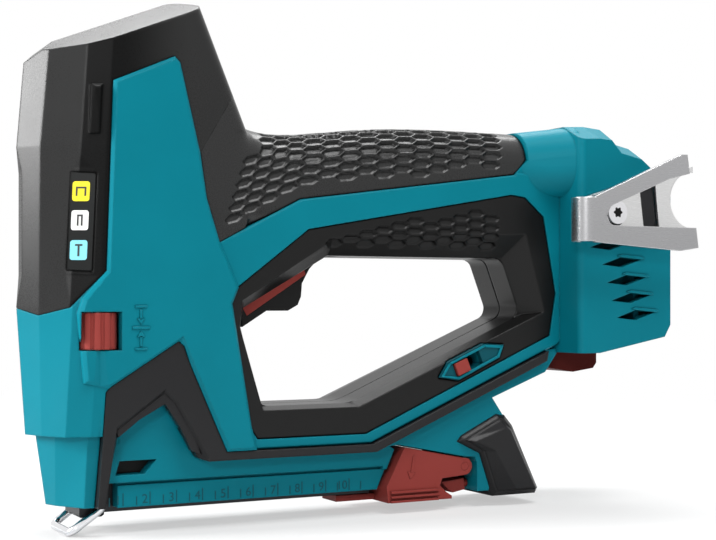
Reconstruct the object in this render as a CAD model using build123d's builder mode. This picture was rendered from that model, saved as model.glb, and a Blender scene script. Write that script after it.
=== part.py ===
from build123d import *
import os
from math import atan2, cos, degrees, pi, radians, sin, tan

# Cordless stapler, in millimetres. X runs from the drive axis to the battery end, Y to the user's
# right and Z up the drive axis. The origin is the middle of the nose face that meets the work.

os.makedirs("parts", exist_ok=True)

# Shells and gaps
wall = 2.5  # moulded housing
skin = 2.0  # soft plastic moulded over the housing
seam = 0.2  # between two mouldings that meet
slide_gap = 0.4  # round a piece that moves
run_gap = 0.05  # radial clearance of a pin in its bore
beyond = 400.0  # further than any part of the tool

# Half widths across the tool
strip_half = 9.0  # front strip beside the ridge
cheek_half = 18.0  # slanted cheek of the head
head_half = 21.0
panel_rise = 1.5  # raised teal side panel
panel_bevel = 1.3
frame_half = 19.5  # teal band and lower arm
frame_bevel = 0.8
grip_half = 18.5
liner_half = 19.2
rear_half = 34.0
mag_half = 13.0  # face with the scale
bracket_half = 17.0
lever_half = 16.5
foot_half = 18.5
foot_bevel = 1.8
trigger_half = 8.0

# Head and nose, seen from the side and from above
nose_z = 4.6  # underside of the nose housing
step_z = 29.5  # step between nose and head
cover_z = 74.0  # lower edge of the head cover at the ridge
ridge_x = -24.5  # foremost line of the head
ridge_step_x = -21.4  # the same line down at the step
ridge_top_x = -18.5  # and up at the roof
brow_z = 130.0  # above this the ridge leans back
strip_run = 5.5
# Runs back from the ridge to the strip's edge, the cheek's edge and the side
step_runs = (3.4, 9.2, 17.3)
cover_runs = (strip_run, 14.8, 23.4)
brow_runs = (6.0, 17.7, 26.0)
roof_runs = (6.3, 16.3, 24.6)
notch = 1.4  # the ridge is set back by this much along the label
head_taper_x = 30.0  # from here the head narrows to the grip
head_back_x = 60.0
brow_slope = 40.0  # degrees, from the ridge up to the roof
roof_front = (-12.0, 168.0)
roof_back = (35.0, 187.2)
roof_fall = 18.5  # degrees down from the middle to each side
roof_round = 6.5
back_round = 5.0  # along the head's upright rear edges
hump_foot = (56.5, 138.0)
nose_ridge_low_x = -14.1
nose_ridge_high_x = -17.8
nose_back_x = 1.5

# Lines where black and teal mouldings meet
cover_dip = 2.5  # the cover's edge is this much lower at the corner of the strip
cover_cheek = (-10.4, 74.2)
cover_low = (1.2, 86.8)
cover_high = (3.6, 152.8)
panel_top = (26.2, 162.9)
panel_corner = (28.4, 160.8)
panel_mid = (36.0, 129.0)
panel_back = (38.5, 113.0)
panel_foot = (43.5, 97.4)
grip_front = (50.5, 152.5)
grip_line_front = (76.6, 114.2)
grip_line_back = (172.0, 127.2)
grip_end_x = 178.0
liner_line_low = (50.8, 81.0)
liner_line_front = (79.8, 102.9)
liner_line_back = (170.5, 118.8)

# Grip and finger loop
grip_floor_z = 97.0
grip_round = 13.0
grip_stations = [  # x and top z: a swoop up to the head, then a long low crown
    (44.0, 153.4), (54.0, 142.6), (82.0, 139.8), (120.0, 143.9),
    (158.0, 144.9), (186.0, 144.9), (196.0, 145.0),
]
loop_floor_z = 37.3
loop_front_x = 62.5
loop_kink_x = 101.0
loop_back_x = 179.0
loop_back_z = 70.6
loop_top_z = 93.5
loop_top_back_x = 170.0
loop_top_front_x = 91.0
loop_bay = (56.0, 73.6)  # where the trigger bay meets the front wall
loop_bay_low = (55.0, 67.0)
loop_round = 5.0
flare_half = 12.5  # beyond this half width the opening's faces slant outwards
flare_low = 1.2  # how far they lean back below, behind, above and in front
flare_back = 7.5
flare_high = 6.5
flare_front = 3.0
sill = 11.4  # height of the liner below the opening
liner_back_x = 192.0

# Lower arm, magazine housing and trim
arm_under_z = 21.9  # underside of the lower arm
arm_kink_x = 106.2
arm_end = (187.4, 55.9)
trim_height = 3.0
trim_depth = 1.2
trim_rise = 0.3
trim_bevel = 3.2  # depth of the slant along its inner edge
mag_low_z = 3.4
mag_top_z = 18.7
mag_end_x = 112.0
mag_rise = 1.5  # the upper magazine side stands out from the scale
groove_z = 11.2
groove = 1.2

# Rear block
rear_front_x = 194.0
rear_back_x = 240.0
rear_low_z = 55.2
rear_slant_x = 203.5
rear_tail_z = 61.4
rear_crown = [
    (rear_front_x, 147.3), (rear_front_x + 10, 147.9), (rear_back_x - 27.5, 147.2),
    (rear_back_x - 22.5, 142.0),
    (rear_back_x - 12.5, 140.0), (rear_back_x, 131.0),
]
rear_wall = 3.0
rear_round = 6.0
vent_places = [(208.5, 99.0), (214.6, 92.1), (217.0, 84.8), (219.3, 77.5), (221.9, 70.5)]
vent_length = 20.0
vent_height = 4.2
vent_tilt = 6.5  # degrees

# Screws through both housing halves
# x, z and the half width of the face the head sits in
screw_places = [
    (50.0, 93.5, frame_half), (112.0, 114.0, frame_half), (201.0, 130.0, rear_half),
    (200.0, 66.0, rear_half),
    (136.0, 26.0, bracket_half), (16.0, 26.0, mag_half + mag_rise),
]
boss_r = 3.9
screw_r = 1.5
screw_head_r = 2.9
screw_head = 2.2

# Nose block, bail and depth adjustment
nose_run = 4.5
nose_half = 8.6
flange_half = 14.2
flange_neck = 9.4  # its narrower front, behind the nose's cheeks
flange_front_x = -8.6
flange_wide_x = -5.4
ledge = 0.8  # the flange rests on this much of the housing
flange_low_z = 26.0
flange = 4.0
blade_half = 5.3
blade_thick = 1.2
channel_gap = 0.15  # beside the blade
wire_r = 1.5
bail_half = 11.0
bail_leg_x = 3.0
bail_front_x = -8.5
bail_drop = 4.5  # front bar below the nose face
bail_knee_z = 3.5
bail_top_z = 33.5
bail_bend = 3.2
bail_travel = 6.0
collar_z = 14.0
collar_r = 2.3
collar = 1.5
bail_coil_r = 2.0
bail_coil_wire = 0.5
wheel_x = -0.6
wheel_z = 65.9
wheel_r = 6.8
wheel_height = 12.6
wheel_proud = 0.6
wheel_ridges = 12
wheel_notch_r = 0.75
window_half = 7.1
groove_high = (-1.3, 80.4)  # tips of the grooves above and below the wheel
groove_low = (-2.7, 51.5)
groove_depth = 3.0
spindle_r = 1.25
spindle_low_z = 36.5
spindle_high_z = 78.0
rib = 3.0
stop_low_z = 41.5
stop_height = 4.0

# Plunger, spring and lifter
plunger_low_z = 37.0
plunger_high_z = 78.0
plunger_front_x = -8.5
plunger_back_x = 7.2
plunger_half = 8.5
pad_gap = 0.2
lift = 30.0
rod_r = 1.75
rod_x = -5.0
rod_half = 5.9
seat_z = 142.0
seat_height = 10.0
coil_r = 4.6
coil_wire = 2.0
coil_turns = 11
lifter_x = 22.0
lifter_z = 65.0
lifter_pitch_r = 12.0
lifter_disc_r = 14.5
lifter_pins = 3
pin_step = 60.0  # degrees between pins
pin_r = 2.0
disc_in = 5.2
disc_out = 8.0
shaft_r = 4.0
rack_half = 4.0
rack_tip = 1.6  # beyond the pitch line
pin_gap = 0.7  # between a pin and the tooth it lifts
rack_tooth = 6.6
plate = 2.0
plate_in = 10.0  # inner face of each drive plate
plate_lean = 2.0  # their upper front corner follows the leaning ridge

# Gears and motor
gear_module = 1.0
backlash = 0.3
pressure = 20.0  # degrees
lifter_teeth = 40
pinion_teeth = 12
idler_teeth = 36
gear_width = 2.4
gear_space = 0.3
idler_angle = 80.0  # degrees, from the lifter to the idler
motor_angle = 85.0  # degrees, from the idler to the motor
motor_r = 17.0
motor_wall = 1.5
motor_end_y = -16.9
motor_shaft_r = 2.0
rotor_r = 11.5
stator_in_r = 12.2
axle_r = 2.5

# Magazine
channel_in = 5.9
channel_wall = 1.2
channel_low_z = 1.4
channel_roof_z = 15.8
channel_x = 4.8
core_half = 4.7
core_top_z = 14.6
core_bore = 3.5
core_floor_z = 3.6
slot_half = 1.6
end_block = 4.0
pusher_length = 12.0
pusher_travel = 70.0
pusher_coil_r = 2.6
pusher_coil_wire = 0.5
pusher_coil_turns = 18
pusher_axis_z = 8.3

# Magazine lever, latch and foot
lever_pivot = (150.0, 10.6)
lever_eye_r = 3.4
lever_pin_r = 1.6
lever_outline = [(115.2, -1.8), (114.6, 4.5), (122.5, 19.4), (149.5, 14.0)]
lever_waist = [(139.6, 6.4), (138.6, 3.6), (141.4, 1.0), (144.0, -0.6), (144.0, -1.8)]
lever_ridges = 3
lever_ridge = 0.9
tongue_x = 98.0
tongue_half = 6.0
tongue_low_z = -1.4
tongue_high_z = 0.9
latch_outline = [(141.8, 4.3), (152.4, 5.3), (152.8, 0.8), (147.2, -0.2), (144.6, 1.6)]
latch_half = 12.0
latch_stem_z = 2.9
latch_stem_r = 1.6
latch_stem_half = 8.0
latch_stem_end_x = 157.4
latch_bore_end_x = 160.4
latch_travel = 2.0
leg_front_x = 155.6
leg_back_x = 161.0
foot_outline = [
    (145.4, 20.6), (147.6, 23.2), (164.4, 31.2), (168.5, 30.4), (172.4, 26.0),
    (184.8, 0.2), (183.6, -2.0), (162.9, -2.0), (161.3, 0.5), (156.2, 15.2),
]

# Trigger and lock slider
trigger_pivot = (89.0, 98.4)
trigger_pin_r = 1.6
trigger_eye_r = 3.6
strip_thick = 2.6
lobe = [(57.8, 66.6), (67.6, 72.6), (76.5, 72.6), (80.6, 74.8), (82.0, 78.0), (82.4, 83.0)]
strip_low = (59.6, 70.8)
strip_high = (83.9, 86.3)
trigger_spring_x = 66.0
trigger_coil_r = 2.6
switch_x = 72.0
switch_size = (17.0, 9.0)
arm_slope = 22.4  # degrees
lock_at = (146.4, 50.3)
lock_length = 6.0
lock_height = 5.0
lock_travel = 6.5
lock_proud = 1.6
lock_frame = [(136.2, 46.4), (140.1, 52.2), (156.8, 59.3), (166.4, 58.8), (164.4, 53.6), (145.3, 45.0)]

# Label plate
label_at = (-6.57, -17.98, 103.7)  # middle of the facet that carries it
label_lean = 25.0  # degrees, from the side view
label_rise = (1.53, -0.44, 37.3)  # the way its long side runs
label_height = 33.4
label_width = 8.2
label_thick = 0.6
label_rim = 0.6
facet_half = 18.6  # half height of the facet
facet_fade = 9.3  # its pointed ends run out over this much more
facet_depth = 0.68  # below the head's edge
bar_outline = [(-4.4, 134.0), (-0.6, 134.2), (0.3, 151.4), (-3.8, 151.1)]  # raised bar behind the cheek
bar_half = 21.6
bar_bevel = 1.1

# Belt hook
hook_thick = 2.0
hook_gap = 8.0
hook_front_x = 187.0
hook_base = [(192.0, 101.0), (192.0, 117.0), (224.0, 127.0), (250.0, 132.4), (251.0, 103.6), (224.0, 101.0)]
hook_plate = [
    (192.0, 117.6), (235.6, 135.9), (238.6, 136.0), (239.8, 128.2), (229.0, 125.6), (199.5, 113.8),
    (197.5, 110.0), (199.5, 106.2), (243.2, 106.2), (244.4, 98.0), (235.0, 96.6), (192.0, 99.4),
]
hook_bend_low_z = 99.8
hook_bend_high_z = 117.2
hook_window = [(221.6, 124.2), (224.4, 103.6), (232.6, 103.6), (230.0, 126.0)]
hook_notch_at = (249.6, 118.2)
hook_notch_r = 11.6
hook_screw_at = (209.0, 112.0)
hook_screw_r = 2.0
hook_screw_head_r = 4.7
hook_recess_r = 1.4
hook_screw_head = 2.4
insert_r = 3.2
insert_length = 8.0

# Battery shoe and bumper
dock_x = 228.0
dock_half = 28.0
dock_top_z = 126.0
shoe_thick = 2.5
rail_depth = 4.0
rail_width = 3.0
rail_x = 233.0
blade_places = [-18.0, -6.0, 6.0, 18.0]
contact_thick = 0.8
contact_height = 7.0
contact_length = 16.0
contact_top_z = 112.0
bumper_outline = [(195.4, 55.2), (191.6, 48.9), (206.4, 46.6), (216.8, 48.0), (218.5, 50.2)]
bumper_half = 12.0
board_x = 198.6
board_thick = 1.6
board_low_z = 76.0
board_high_z = 124.0

# Values worked out from the sizes above
panel_half = head_half + panel_rise
inner_half = head_half - wall
motor_far = plate_in  # the motor's flange lies on the right drive plate
floor_z = step_z + wall
gear_inner_y = plate_in + plate + gear_space
gear_outer_y = gear_inner_y + gear_width + gear_space
idler_x = lifter_x + gear_module * (lifter_teeth + pinion_teeth) / 2 * cos(radians(idler_angle))
idler_z = lifter_z + gear_module * (lifter_teeth + pinion_teeth) / 2 * sin(radians(idler_angle))
motor_x = idler_x + gear_module * (idler_teeth + pinion_teeth) / 2 * cos(radians(motor_angle))
motor_z = idler_z + gear_module * (idler_teeth + pinion_teeth) / 2 * sin(radians(motor_angle))
wheel_y = wheel_r - panel_half - wheel_proud
flange_top_z = flange_low_z + flange
hook_base_y = -rear_half - seam
hook_out_y = hook_base_y - 2 * hook_thick - hook_gap


def side_plane(y):
    """The side view at a distance y from the middle: x to the right and z up."""
    return Plane(origin=(0, y, 0), x_dir=(1, 0, 0), z_dir=(0, -1, 0))


def slab(outline, y_low, y_high, grow=0.0, rounds=()):
    """A side outline carried across the tool, grown or shrunk first, with chosen corners rounded."""
    with BuildPart() as body:
        with BuildSketch(side_plane(y_high)) as view:
            with BuildLine():
                Polyline(*outline, close=True)
            make_face()
            for point, radius in rounds:
                fillet(view.vertices().sort_by_distance((point[0], point[1], 0))[0], radius)
            if grow:
                offset(amount=grow, kind=Kind.INTERSECTION)
        extrude(amount=y_high - y_low)
    return body.part


def both(outline, half, grow=0.0, rounds=()):
    """A side outline carried from one side of the tool to the other."""
    return slab(outline, -half, half, grow, rounds)


def bar_y(x, z, radius, y_low, y_high):
    """A round bar across the tool."""
    with BuildPart() as bar:
        with BuildSketch(side_plane(y_high)):
            with Locations((x, z)):
                Circle(radius)
        extrude(amount=y_high - y_low)
    return bar.part


def bar_z(x, y, radius, z_low, z_high):
    """A round upright bar."""
    with BuildPart() as bar:
        with BuildSketch(Plane.XY.offset(z_low)):
            with Locations((x, y)):
                Circle(radius)
        extrude(amount=z_high - z_low)
    return bar.part


def block(x_low, x_high, y_low, y_high, z_low, z_high):
    """A box between two corners."""
    return slab([(x_low, z_low), (x_high, z_low), (x_high, z_high), (x_low, z_high)], y_low, y_high)


def coil(centre, direction, length, mean_r, wire, turns):
    """A round-wire compression spring that stands on centre."""
    height = length - wire
    along = Vector(*direction)
    start = Vector(*centre) + along * (wire / 2)
    with BuildPart() as spring:
        with BuildLine() as path:
            Helix(pitch=height / turns, height=height, radius=mean_r, center=start, direction=direction)
        with BuildSketch(Plane(origin=path.line @ 0, z_dir=path.line % 0)):
            Circle(wire / 2)
        sweep(path=path.line, is_frenet=True)
    return spring.part


def spur(teeth, x, z, tooth_angle, y_low, y_high, bore):
    """A spur gear across the tool with one tooth pointing along tooth_angle (degrees, from x to z)."""
    pitch_r = gear_module * teeth / 2
    tip_r = pitch_r + 0.9 * gear_module
    root_r = pitch_r - 1.15 * gear_module
    half_pitch = gear_module * pi / 4 - backlash / 2
    half_tip = half_pitch - (tip_r - pitch_r) * tan(radians(pressure))
    half_root = half_pitch + (pitch_r - root_r) * tan(radians(pressure))
    points = []
    for k in range(teeth):
        middle = radians(tooth_angle) + 2 * pi * k / teeth
        for radius, half in ((root_r, -half_root), (tip_r, -half_tip), (tip_r, half_tip),
                             (root_r, half_root)):
            turn = middle + half / radius
            points.append((x + radius * cos(turn), z + radius * sin(turn)))
    with BuildPart() as gear:
        add(slab(points, y_low, y_high))
        add(bar_y(x, z, bore, y_low, y_high), mode=Mode.SUBTRACT)
    return gear.part


def mirrored(half):
    """A plan outline from the points of its right half."""
    return half + [(x, -y) for x, y in reversed(half) if y]


def plan(z, half, inset):
    """A plan outline at a level, set in by a wall."""
    with BuildSketch(Plane.XY.offset(z)) as level:
        with BuildLine():
            Polyline(*mirrored(half), close=True)
        make_face()
        if inset:
            offset(amount=-inset, kind=Kind.INTERSECTION)
    return level.sketch


def prow(ridge, runs):
    """Right half of the head's plan: ridge, strip, cheek, side and the taper to the grip."""
    return [
        (ridge, 0),
        (ridge + runs[0], strip_half),
        (ridge + runs[1], cheek_half),
        (ridge + runs[2], head_half),
        (head_taper_x, head_half),
        (head_back_x, grip_half),
    ]


def gable(inset):
    """Everything under the pitched roof of the head."""
    slope = atan2(roof_back[1] - roof_front[1], roof_back[0] - roof_front[0])
    start = -beyond / 4
    apex = roof_front[1] + (start - roof_front[0]) * tan(slope) - inset / cos(slope)
    fall = beyond * tan(radians(roof_fall))
    with BuildPart() as body:
        with BuildSketch(Plane.YZ.offset(start)):
            with BuildLine():
                Polyline((0, apex), (beyond, apex - fall), (beyond, -beyond), (-beyond, -beyond),
                         (-beyond, apex - fall), close=True)
            make_face()
        extrude(amount=beyond, dir=(cos(slope), 0, sin(slope)))
    return body.part


front_x = ridge_x - 10
brow_foot_z = roof_front[1] - (roof_front[0] - front_x) * tan(radians(brow_slope))
head_side = [
    (front_x, step_z), (front_x, brow_foot_z), roof_front, roof_back, hump_foot,
    (hump_foot[0], grip_line_front[1] - 6), (47.6, 86.0), (46.6, 62.0), (47.6, step_z),
]


def head_form(inset):
    """The head, or what is left of it inside a wall."""
    top_z = roof_back[1] + 2 * roof_round
    lean = Vector(hump_foot[0] - roof_back[0], 0, hump_foot[1] - roof_back[1]).normalized()
    with BuildPart() as body:
        loft([plan(step_z, prow(ridge_step_x, step_runs), inset),
              plan(cover_z, prow(ridge_x, cover_runs), inset),
              plan(brow_z, prow(ridge_x, brow_runs), inset),
              plan(top_z, prow(ridge_top_x, roof_runs), inset)],
             ruled=True)
        add(both(head_side, beyond, -inset), mode=Mode.INTERSECT)
        rear_edges = body.edges().filter_by(GeomType.LINE).filter_by(
            lambda e: abs((e % 0.5).dot(lean)) > 0.99 and e.center().X > head_taper_x
        )
        fillet(rear_edges.filter_by(lambda e: abs(e.center().Y) > strip_half), back_round - inset)
        add(both(head_side, beyond, -inset, [(roof_back, roof_round)]), mode=Mode.INTERSECT)
        add(gable(inset), mode=Mode.INTERSECT)
    return body.part


def nose_form():
    """The narrower nose under the head."""
    low = [(nose_ridge_low_x, 0), (-12.2, 5.5), (-5.3, 17.0), (nose_back_x, 17.6)]
    high = [(nose_ridge_high_x, 0), (-13.3, strip_half), (-4.3, cheek_half), (nose_back_x, 18.6)]
    with BuildPart() as body:
        loft([plan(nose_z, low, 0), plan(step_z + seam, high, 0)], ruled=True)
    return body.part


def grip_form(inset):
    """The rounded grip, or what is left of it inside a skin."""
    with BuildPart() as body:
        sections = []
        for x, top_z in grip_stations:
            height = top_z - grip_floor_z - 2 * inset
            with BuildSketch(Plane.YZ.offset(x)) as section:
                with Locations((0, (top_z + grip_floor_z) / 2)):
                    RectangleRounded(2 * (grip_half - inset), height, grip_round - inset)
            sections.append(section.sketch)
        loft(sections)
    return body.part


arm_rise = tan(atan2(loop_back_z - loop_floor_z, loop_back_x - loop_kink_x))
loop_outline = [
    (loop_front_x, loop_floor_z), (loop_kink_x, loop_floor_z), (loop_back_x, loop_back_z),
    (loop_top_back_x, loop_top_z), (loop_top_front_x, loop_top_z), loop_bay, loop_bay_low,
]
loop_rounds = [(loop_outline[0], loop_round), (loop_outline[1], 4 * loop_round),
               (loop_outline[2], loop_round),
               (loop_outline[3], loop_round)]
sill_z = loop_floor_z - sill
liner_outline = [
    (59.0, sill_z), (104.0, sill_z), (189.0, sill_z + (189.0 - 104.0) * arm_rise), (liner_back_x, 79.4),
    (186.0, 110.5), (177.0, 118.0), liner_line_back, liner_line_front, liner_line_low, (48.4, 75.2),
    (56.0, 30.2),
]
arm_outline = [
    (40.0, 60.0), (46.1, arm_under_z), (arm_kink_x, arm_under_z), arm_end,
    (rear_front_x + wall, 60.0), (rear_front_x + wall, 128.0), (grip_line_back[0], 128.0), grip_line_back,
    grip_line_front, panel_foot,
]
grip_outline = [
    panel_foot, grip_line_front, grip_line_back, (grip_end_x, grip_line_back[1] + 6), (grip_end_x, beyond),
    (66.0, beyond), (66.0, 160.0), grip_front, panel_mid, panel_back,
]
cover_outline = [
    (front_x, cover_z + (ridge_x - front_x) * cover_dip / strip_run), (ridge_x, cover_z),
    (ridge_x + strip_run, cover_z - cover_dip), cover_cheek, cover_low, cover_high, panel_top, panel_corner,
    panel_mid, grip_front, (66.0, 160.0), (66.0, beyond), (front_x, beyond),
]
panel_outline = [
    cover_low, cover_high, panel_top, panel_corner, panel_mid, panel_back, panel_foot, liner_line_low,
    (48.4, 75.2),
    (56.0, 30.2), (58.0, arm_under_z), (46.1, arm_under_z), (32.2, 53.2), (28.4, 62.0), (2.4, 46.0),
    (-6.5, 48.0),
    (-8.5, 72.0), (-7.0, 77.0),
]
trim_outline = [
    (-1.6, nose_z), (1.3, 44.7), (2.9, 46.5), (27.6, 61.9), (29.6, 60.3), (32.2, 53.2), (46.1, arm_under_z),
    (arm_kink_x, arm_under_z), arm_end, (arm_end[0] - 0.8, arm_end[1] - trim_height - 1),
    (arm_kink_x + 1.4, arm_under_z - trim_height), (39.3, arm_under_z - trim_height), (36.2, 20.1),
    (24.5, 39.1),
    (22.7, 41.0), (6.5, 29.7), (0.9, nose_z),
]
mag_outline = [
    (-1.6, mag_low_z + 1.2), (1.3, 44.7), (22.7, 41.0), (46.1, arm_under_z), (arm_kink_x + 8, arm_under_z),
    (mag_end_x + 7, mag_top_z), (mag_end_x, mag_low_z), (2.0, mag_low_z),
]
scale_outline = [(1.5, groove_z), (mag_end_x + 9, groove_z), (mag_end_x + 9, -beyond), (1.5, -beyond)]
bracket_outline = [
    (arm_kink_x - 2, arm_under_z), (arm_kink_x + 2, arm_under_z - 2), (119.6, 20.6), (122.4, 20.1),
    (149.8, 14.6), (154.4, 14.2), (leg_front_x, 12.0), (leg_front_x, 0.4), (leg_back_x, 0.4),
    (168.0, 30.0), (162.7, 37.5),
    (188.6, 47.2), (196.0, 57.0), arm_end,
]
rear_outline = rear_crown + [
    (rear_back_x, rear_tail_z + 5), (rear_back_x - 3, rear_tail_z), (rear_slant_x, rear_low_z),
    (rear_front_x, rear_low_z),
]

# Forms that several mouldings share
head_outer = head_form(0)
head_core = head_form(skin)
head_inner = head_form(wall)
grip_outer = grip_form(0)
grip_core = grip_form(skin)
grip_inner = grip_form(skin + wall)
cover_zone = both(cover_outline, beyond)
cover_zone_wide = both(cover_outline, beyond, seam)
grip_zone = both(grip_outline, beyond)
grip_zone_wide = both(grip_outline, beyond, seam)
liner_zone_wide = both(liner_outline, beyond, seam)
flare_outline = [
    (loop_front_x - flare_low, loop_floor_z - flare_low), (loop_kink_x, loop_floor_z - flare_low),
    (loop_back_x + flare_back, loop_back_z + flare_low),
    (loop_top_back_x + flare_back, loop_top_z + 1.5 * flare_high),
    (loop_top_front_x, loop_top_z + flare_high), (loop_bay[0] - flare_front, loop_bay[1] + flare_front),
    (loop_bay_low[0] - flare_front, loop_bay_low[1]),
]


def loop_view(outline, y, grow):
    """The finger opening's outline at a distance from the middle, grown all round."""
    with BuildSketch(side_plane(y)) as view:
        with BuildLine():
            Polyline(*outline, close=True)
        make_face()
        if grow:
            offset(amount=grow, kind=Kind.INTERSECTION)
    return view.sketch


def loop_cut(grow):
    """The finger opening: straight through the middle, with slanted faces to each side."""
    with BuildPart() as cut:
        add(both(loop_outline, flare_half + seam, grow, loop_rounds))
        for side in (-1, 1):
            loft([loop_view(loop_outline, side * flare_half, grow),
                  loop_view(flare_outline, side * liner_half, grow)],
                 ruled=True)
            y_low, y_high = sorted((side * liner_half, side * beyond))
            add(slab(flare_outline, y_low, y_high, grow))
    return cut.part


with BuildPart() as ring_core_form:
    add(both(liner_outline, liner_half - skin, seam))
    add(loop_cut(skin), mode=Mode.SUBTRACT)
ring_core = ring_core_form.part

with BuildPart() as ring_form:
    add(both(liner_outline, liner_half))
    add(loop_cut(0), mode=Mode.SUBTRACT)
    add(ring_core, mode=Mode.SUBTRACT)
ring = ring_form.part

with BuildPart() as shoulder_form:
    with BuildSketch(Plane.YZ.offset(grip_end_x - skin)) as shoulder_front:
        with Locations((0, (grip_stations[-1][1] + liner_line_back[1]) / 2)):
            RectangleRounded(2 * grip_half, grip_stations[-1][1] - liner_line_back[1], grip_round - 1)
    with BuildSketch(Plane.YZ.offset(rear_front_x + rear_wall)) as shoulder_back:
        with Locations((0, (rear_crown[0][1] + liner_line_back[1]) / 2)):
            RectangleRounded(2 * rear_half - 2, rear_crown[0][1] - liner_line_back[1], grip_round - 1)
    loft([shoulder_front.sketch, shoulder_back.sketch])
shoulder = shoulder_form.part

with BuildPart() as rear_form:
    add(both(rear_outline, rear_half))
    crown_edges = rear_form.edges().filter_by(
        lambda e: abs(abs(e.center().Y) - rear_half) < 0.01 and e.center().Z > rear_crown[-1][1]
    )
    chamfer(crown_edges, 2 * rear_round, rear_round)
    fillet(rear_form.edges().filter_by(
        lambda e: abs(abs(e.center().Y) - rear_half) < 0.01 and e.center().X < rear_front_x + 0.1),
        rear_wall)
rear_outer = rear_form.part


# Spaces inside the housing and cuts through it
trim_out = head_half + trim_rise
trim_in = mag_half + mag_rise
recess_outline = [(0.9, nose_z), (6.5, 29.7), (22.7, 41.0), (24.5, 39.1), (36.2, 20.1), (36.2, nose_z)]
recess_wide_outline = [(0.9, nose_z), (5.0, 32.6), (22.9, 45.6), (27.8, 41.2), (39.6, 20.1), (39.6, nose_z)]
pod_half = plate_in + plate + slide_gap
hollow_low_z = arm_under_z + wall
hollow_high_z = loop_floor_z - skin - wall
hollow_half = 12.0
hollow_end_x = rear_front_x + rear_wall + wall
hollow_outline = [
    (70.0, hollow_low_z), (arm_kink_x, hollow_low_z),
    (hollow_end_x, hollow_low_z + (hollow_end_x - arm_kink_x) * arm_rise),
    (hollow_end_x, hollow_high_z + (hollow_end_x - loop_kink_x) * arm_rise), (loop_kink_x, hollow_high_z),
    (70.0, hollow_high_z),
]
bay_half = trigger_half + 1.5 * slide_gap
bay_outline = [
    (53.2, 63.5), (57.0, 63.5), (93.0, 88.0), (98.0, 92.0), (98.0, 104.0), (72.0, 104.0), (72.0, 98.0),
    (60.0, 98.0),
    (53.2, 88.0),
]
switch_low_z = grip_floor_z + skin + 4.5
switch_half = 11.0
stop_front_x = wheel_x - 3.6
stop_back_x = wheel_x + 5.6
stop_out_y = -18.4
channel_out = channel_in + channel_wall
rear_inner_end = dock_x - wall
lug_half = 6.0

with BuildPart() as liner_space_form:
    add(liner_zone_wide)
    add(ring_core, mode=Mode.SUBTRACT)
with BuildPart() as grip_space_form:
    add(grip_zone_wide)
    add(grip_core, mode=Mode.SUBTRACT)
    add(head_core, mode=Mode.SUBTRACT)
with BuildPart() as trim_space_form:
    add(slab(trim_outline, -beyond, -trim_in, seam))
    add(slab(trim_outline, trim_in, beyond, seam))
    add(head_form(trim_depth), mode=Mode.SUBTRACT)
with BuildPart() as pod_form:
    add(both(recess_outline, head_half, 0.6 * wall))
    add(both(recess_outline, pod_half, 2 * wall), mode=Mode.SUBTRACT)
    add(head_outer, mode=Mode.INTERSECT)
with BuildPart() as panel_form:
    add(both(panel_outline, panel_half))
    chamfer(panel_form.edges().filter_by(lambda e: abs(abs(e.center().Y) - panel_half) < 0.01), panel_bevel)
with BuildPart() as rear_space_form:
    add(both(rear_outline, rear_half - rear_wall, -rear_wall))
    add(block(rear_inner_end, beyond, -beyond, beyond, -beyond, beyond), mode=Mode.SUBTRACT)
    add(block(-beyond, beyond, -beyond, beyond, rear_crown[-1][1] - rear_round, beyond), mode=Mode.SUBTRACT)


def tilted(at, length, height, y_low, y_high, angle, radius=0.0):
    """A rectangle in the side view, turned by an angle and carried across."""
    with BuildPart() as body:
        with BuildSketch(side_plane(y_high)):
            with Locations((at[0], at[1])):
                if radius:
                    RectangleRounded(length, height, radius, rotation=angle)
                else:
                    Rectangle(length, height, rotation=angle)
        extrude(amount=y_high - y_low)
    return body.part


def vents():
    """Diamond-shaped slots through both sides of the rear block."""
    run = (cos(radians(vent_tilt)), sin(radians(vent_tilt)))
    cuts = []
    for x, z in vent_places:
        tips = [
            (x - run[0] * vent_length / 2, z - run[1] * vent_length / 2), (x, z - vent_height / 2),
            (x + run[0] * vent_length / 2, z + run[1] * vent_length / 2), (x, z + vent_height / 2),
        ]
        cuts.append(slab(tips, -beyond, -rear_half + 2 * rear_wall))
        cuts.append(slab(tips, rear_half - 2 * rear_wall, beyond))
    return cuts


lock_slot_at = (lock_at[0] + lock_travel / 2 * cos(radians(arm_slope)),
                lock_at[1] + lock_travel / 2 * sin(radians(arm_slope)))
lock_slot = tilted(lock_slot_at, lock_length + lock_travel + 2 * slide_gap, lock_height + 2 * slide_gap,
                   -beyond, 3 - hollow_half, arm_slope)
lock_pocket = slab(lock_frame, -beyond, skin - liner_half, seam)



def wheel_groove(base_z, tip):
    """A groove that leads from the panel's face down to the depth wheel's window."""
    with BuildPart() as cut:
        with BuildSketch(Plane.XY.offset(base_z)) as base:
            with BuildLine():
                Polyline((wheel_x - window_half, -panel_half - 0.2),
                         (wheel_x + window_half, -panel_half - 0.2),
                         (wheel_x, groove_depth - panel_half), close=True)
            make_face()
        loft([base.face(), Vertex(tip[0], -panel_half - 0.2, tip[1])])
    return cut.part


with BuildPart() as arm_form:
    add(both(arm_outline, frame_half))
    chamfer(arm_form.edges().filter_by(lambda e: abs(abs(e.center().Y) - frame_half) < 0.01), frame_bevel)

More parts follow.
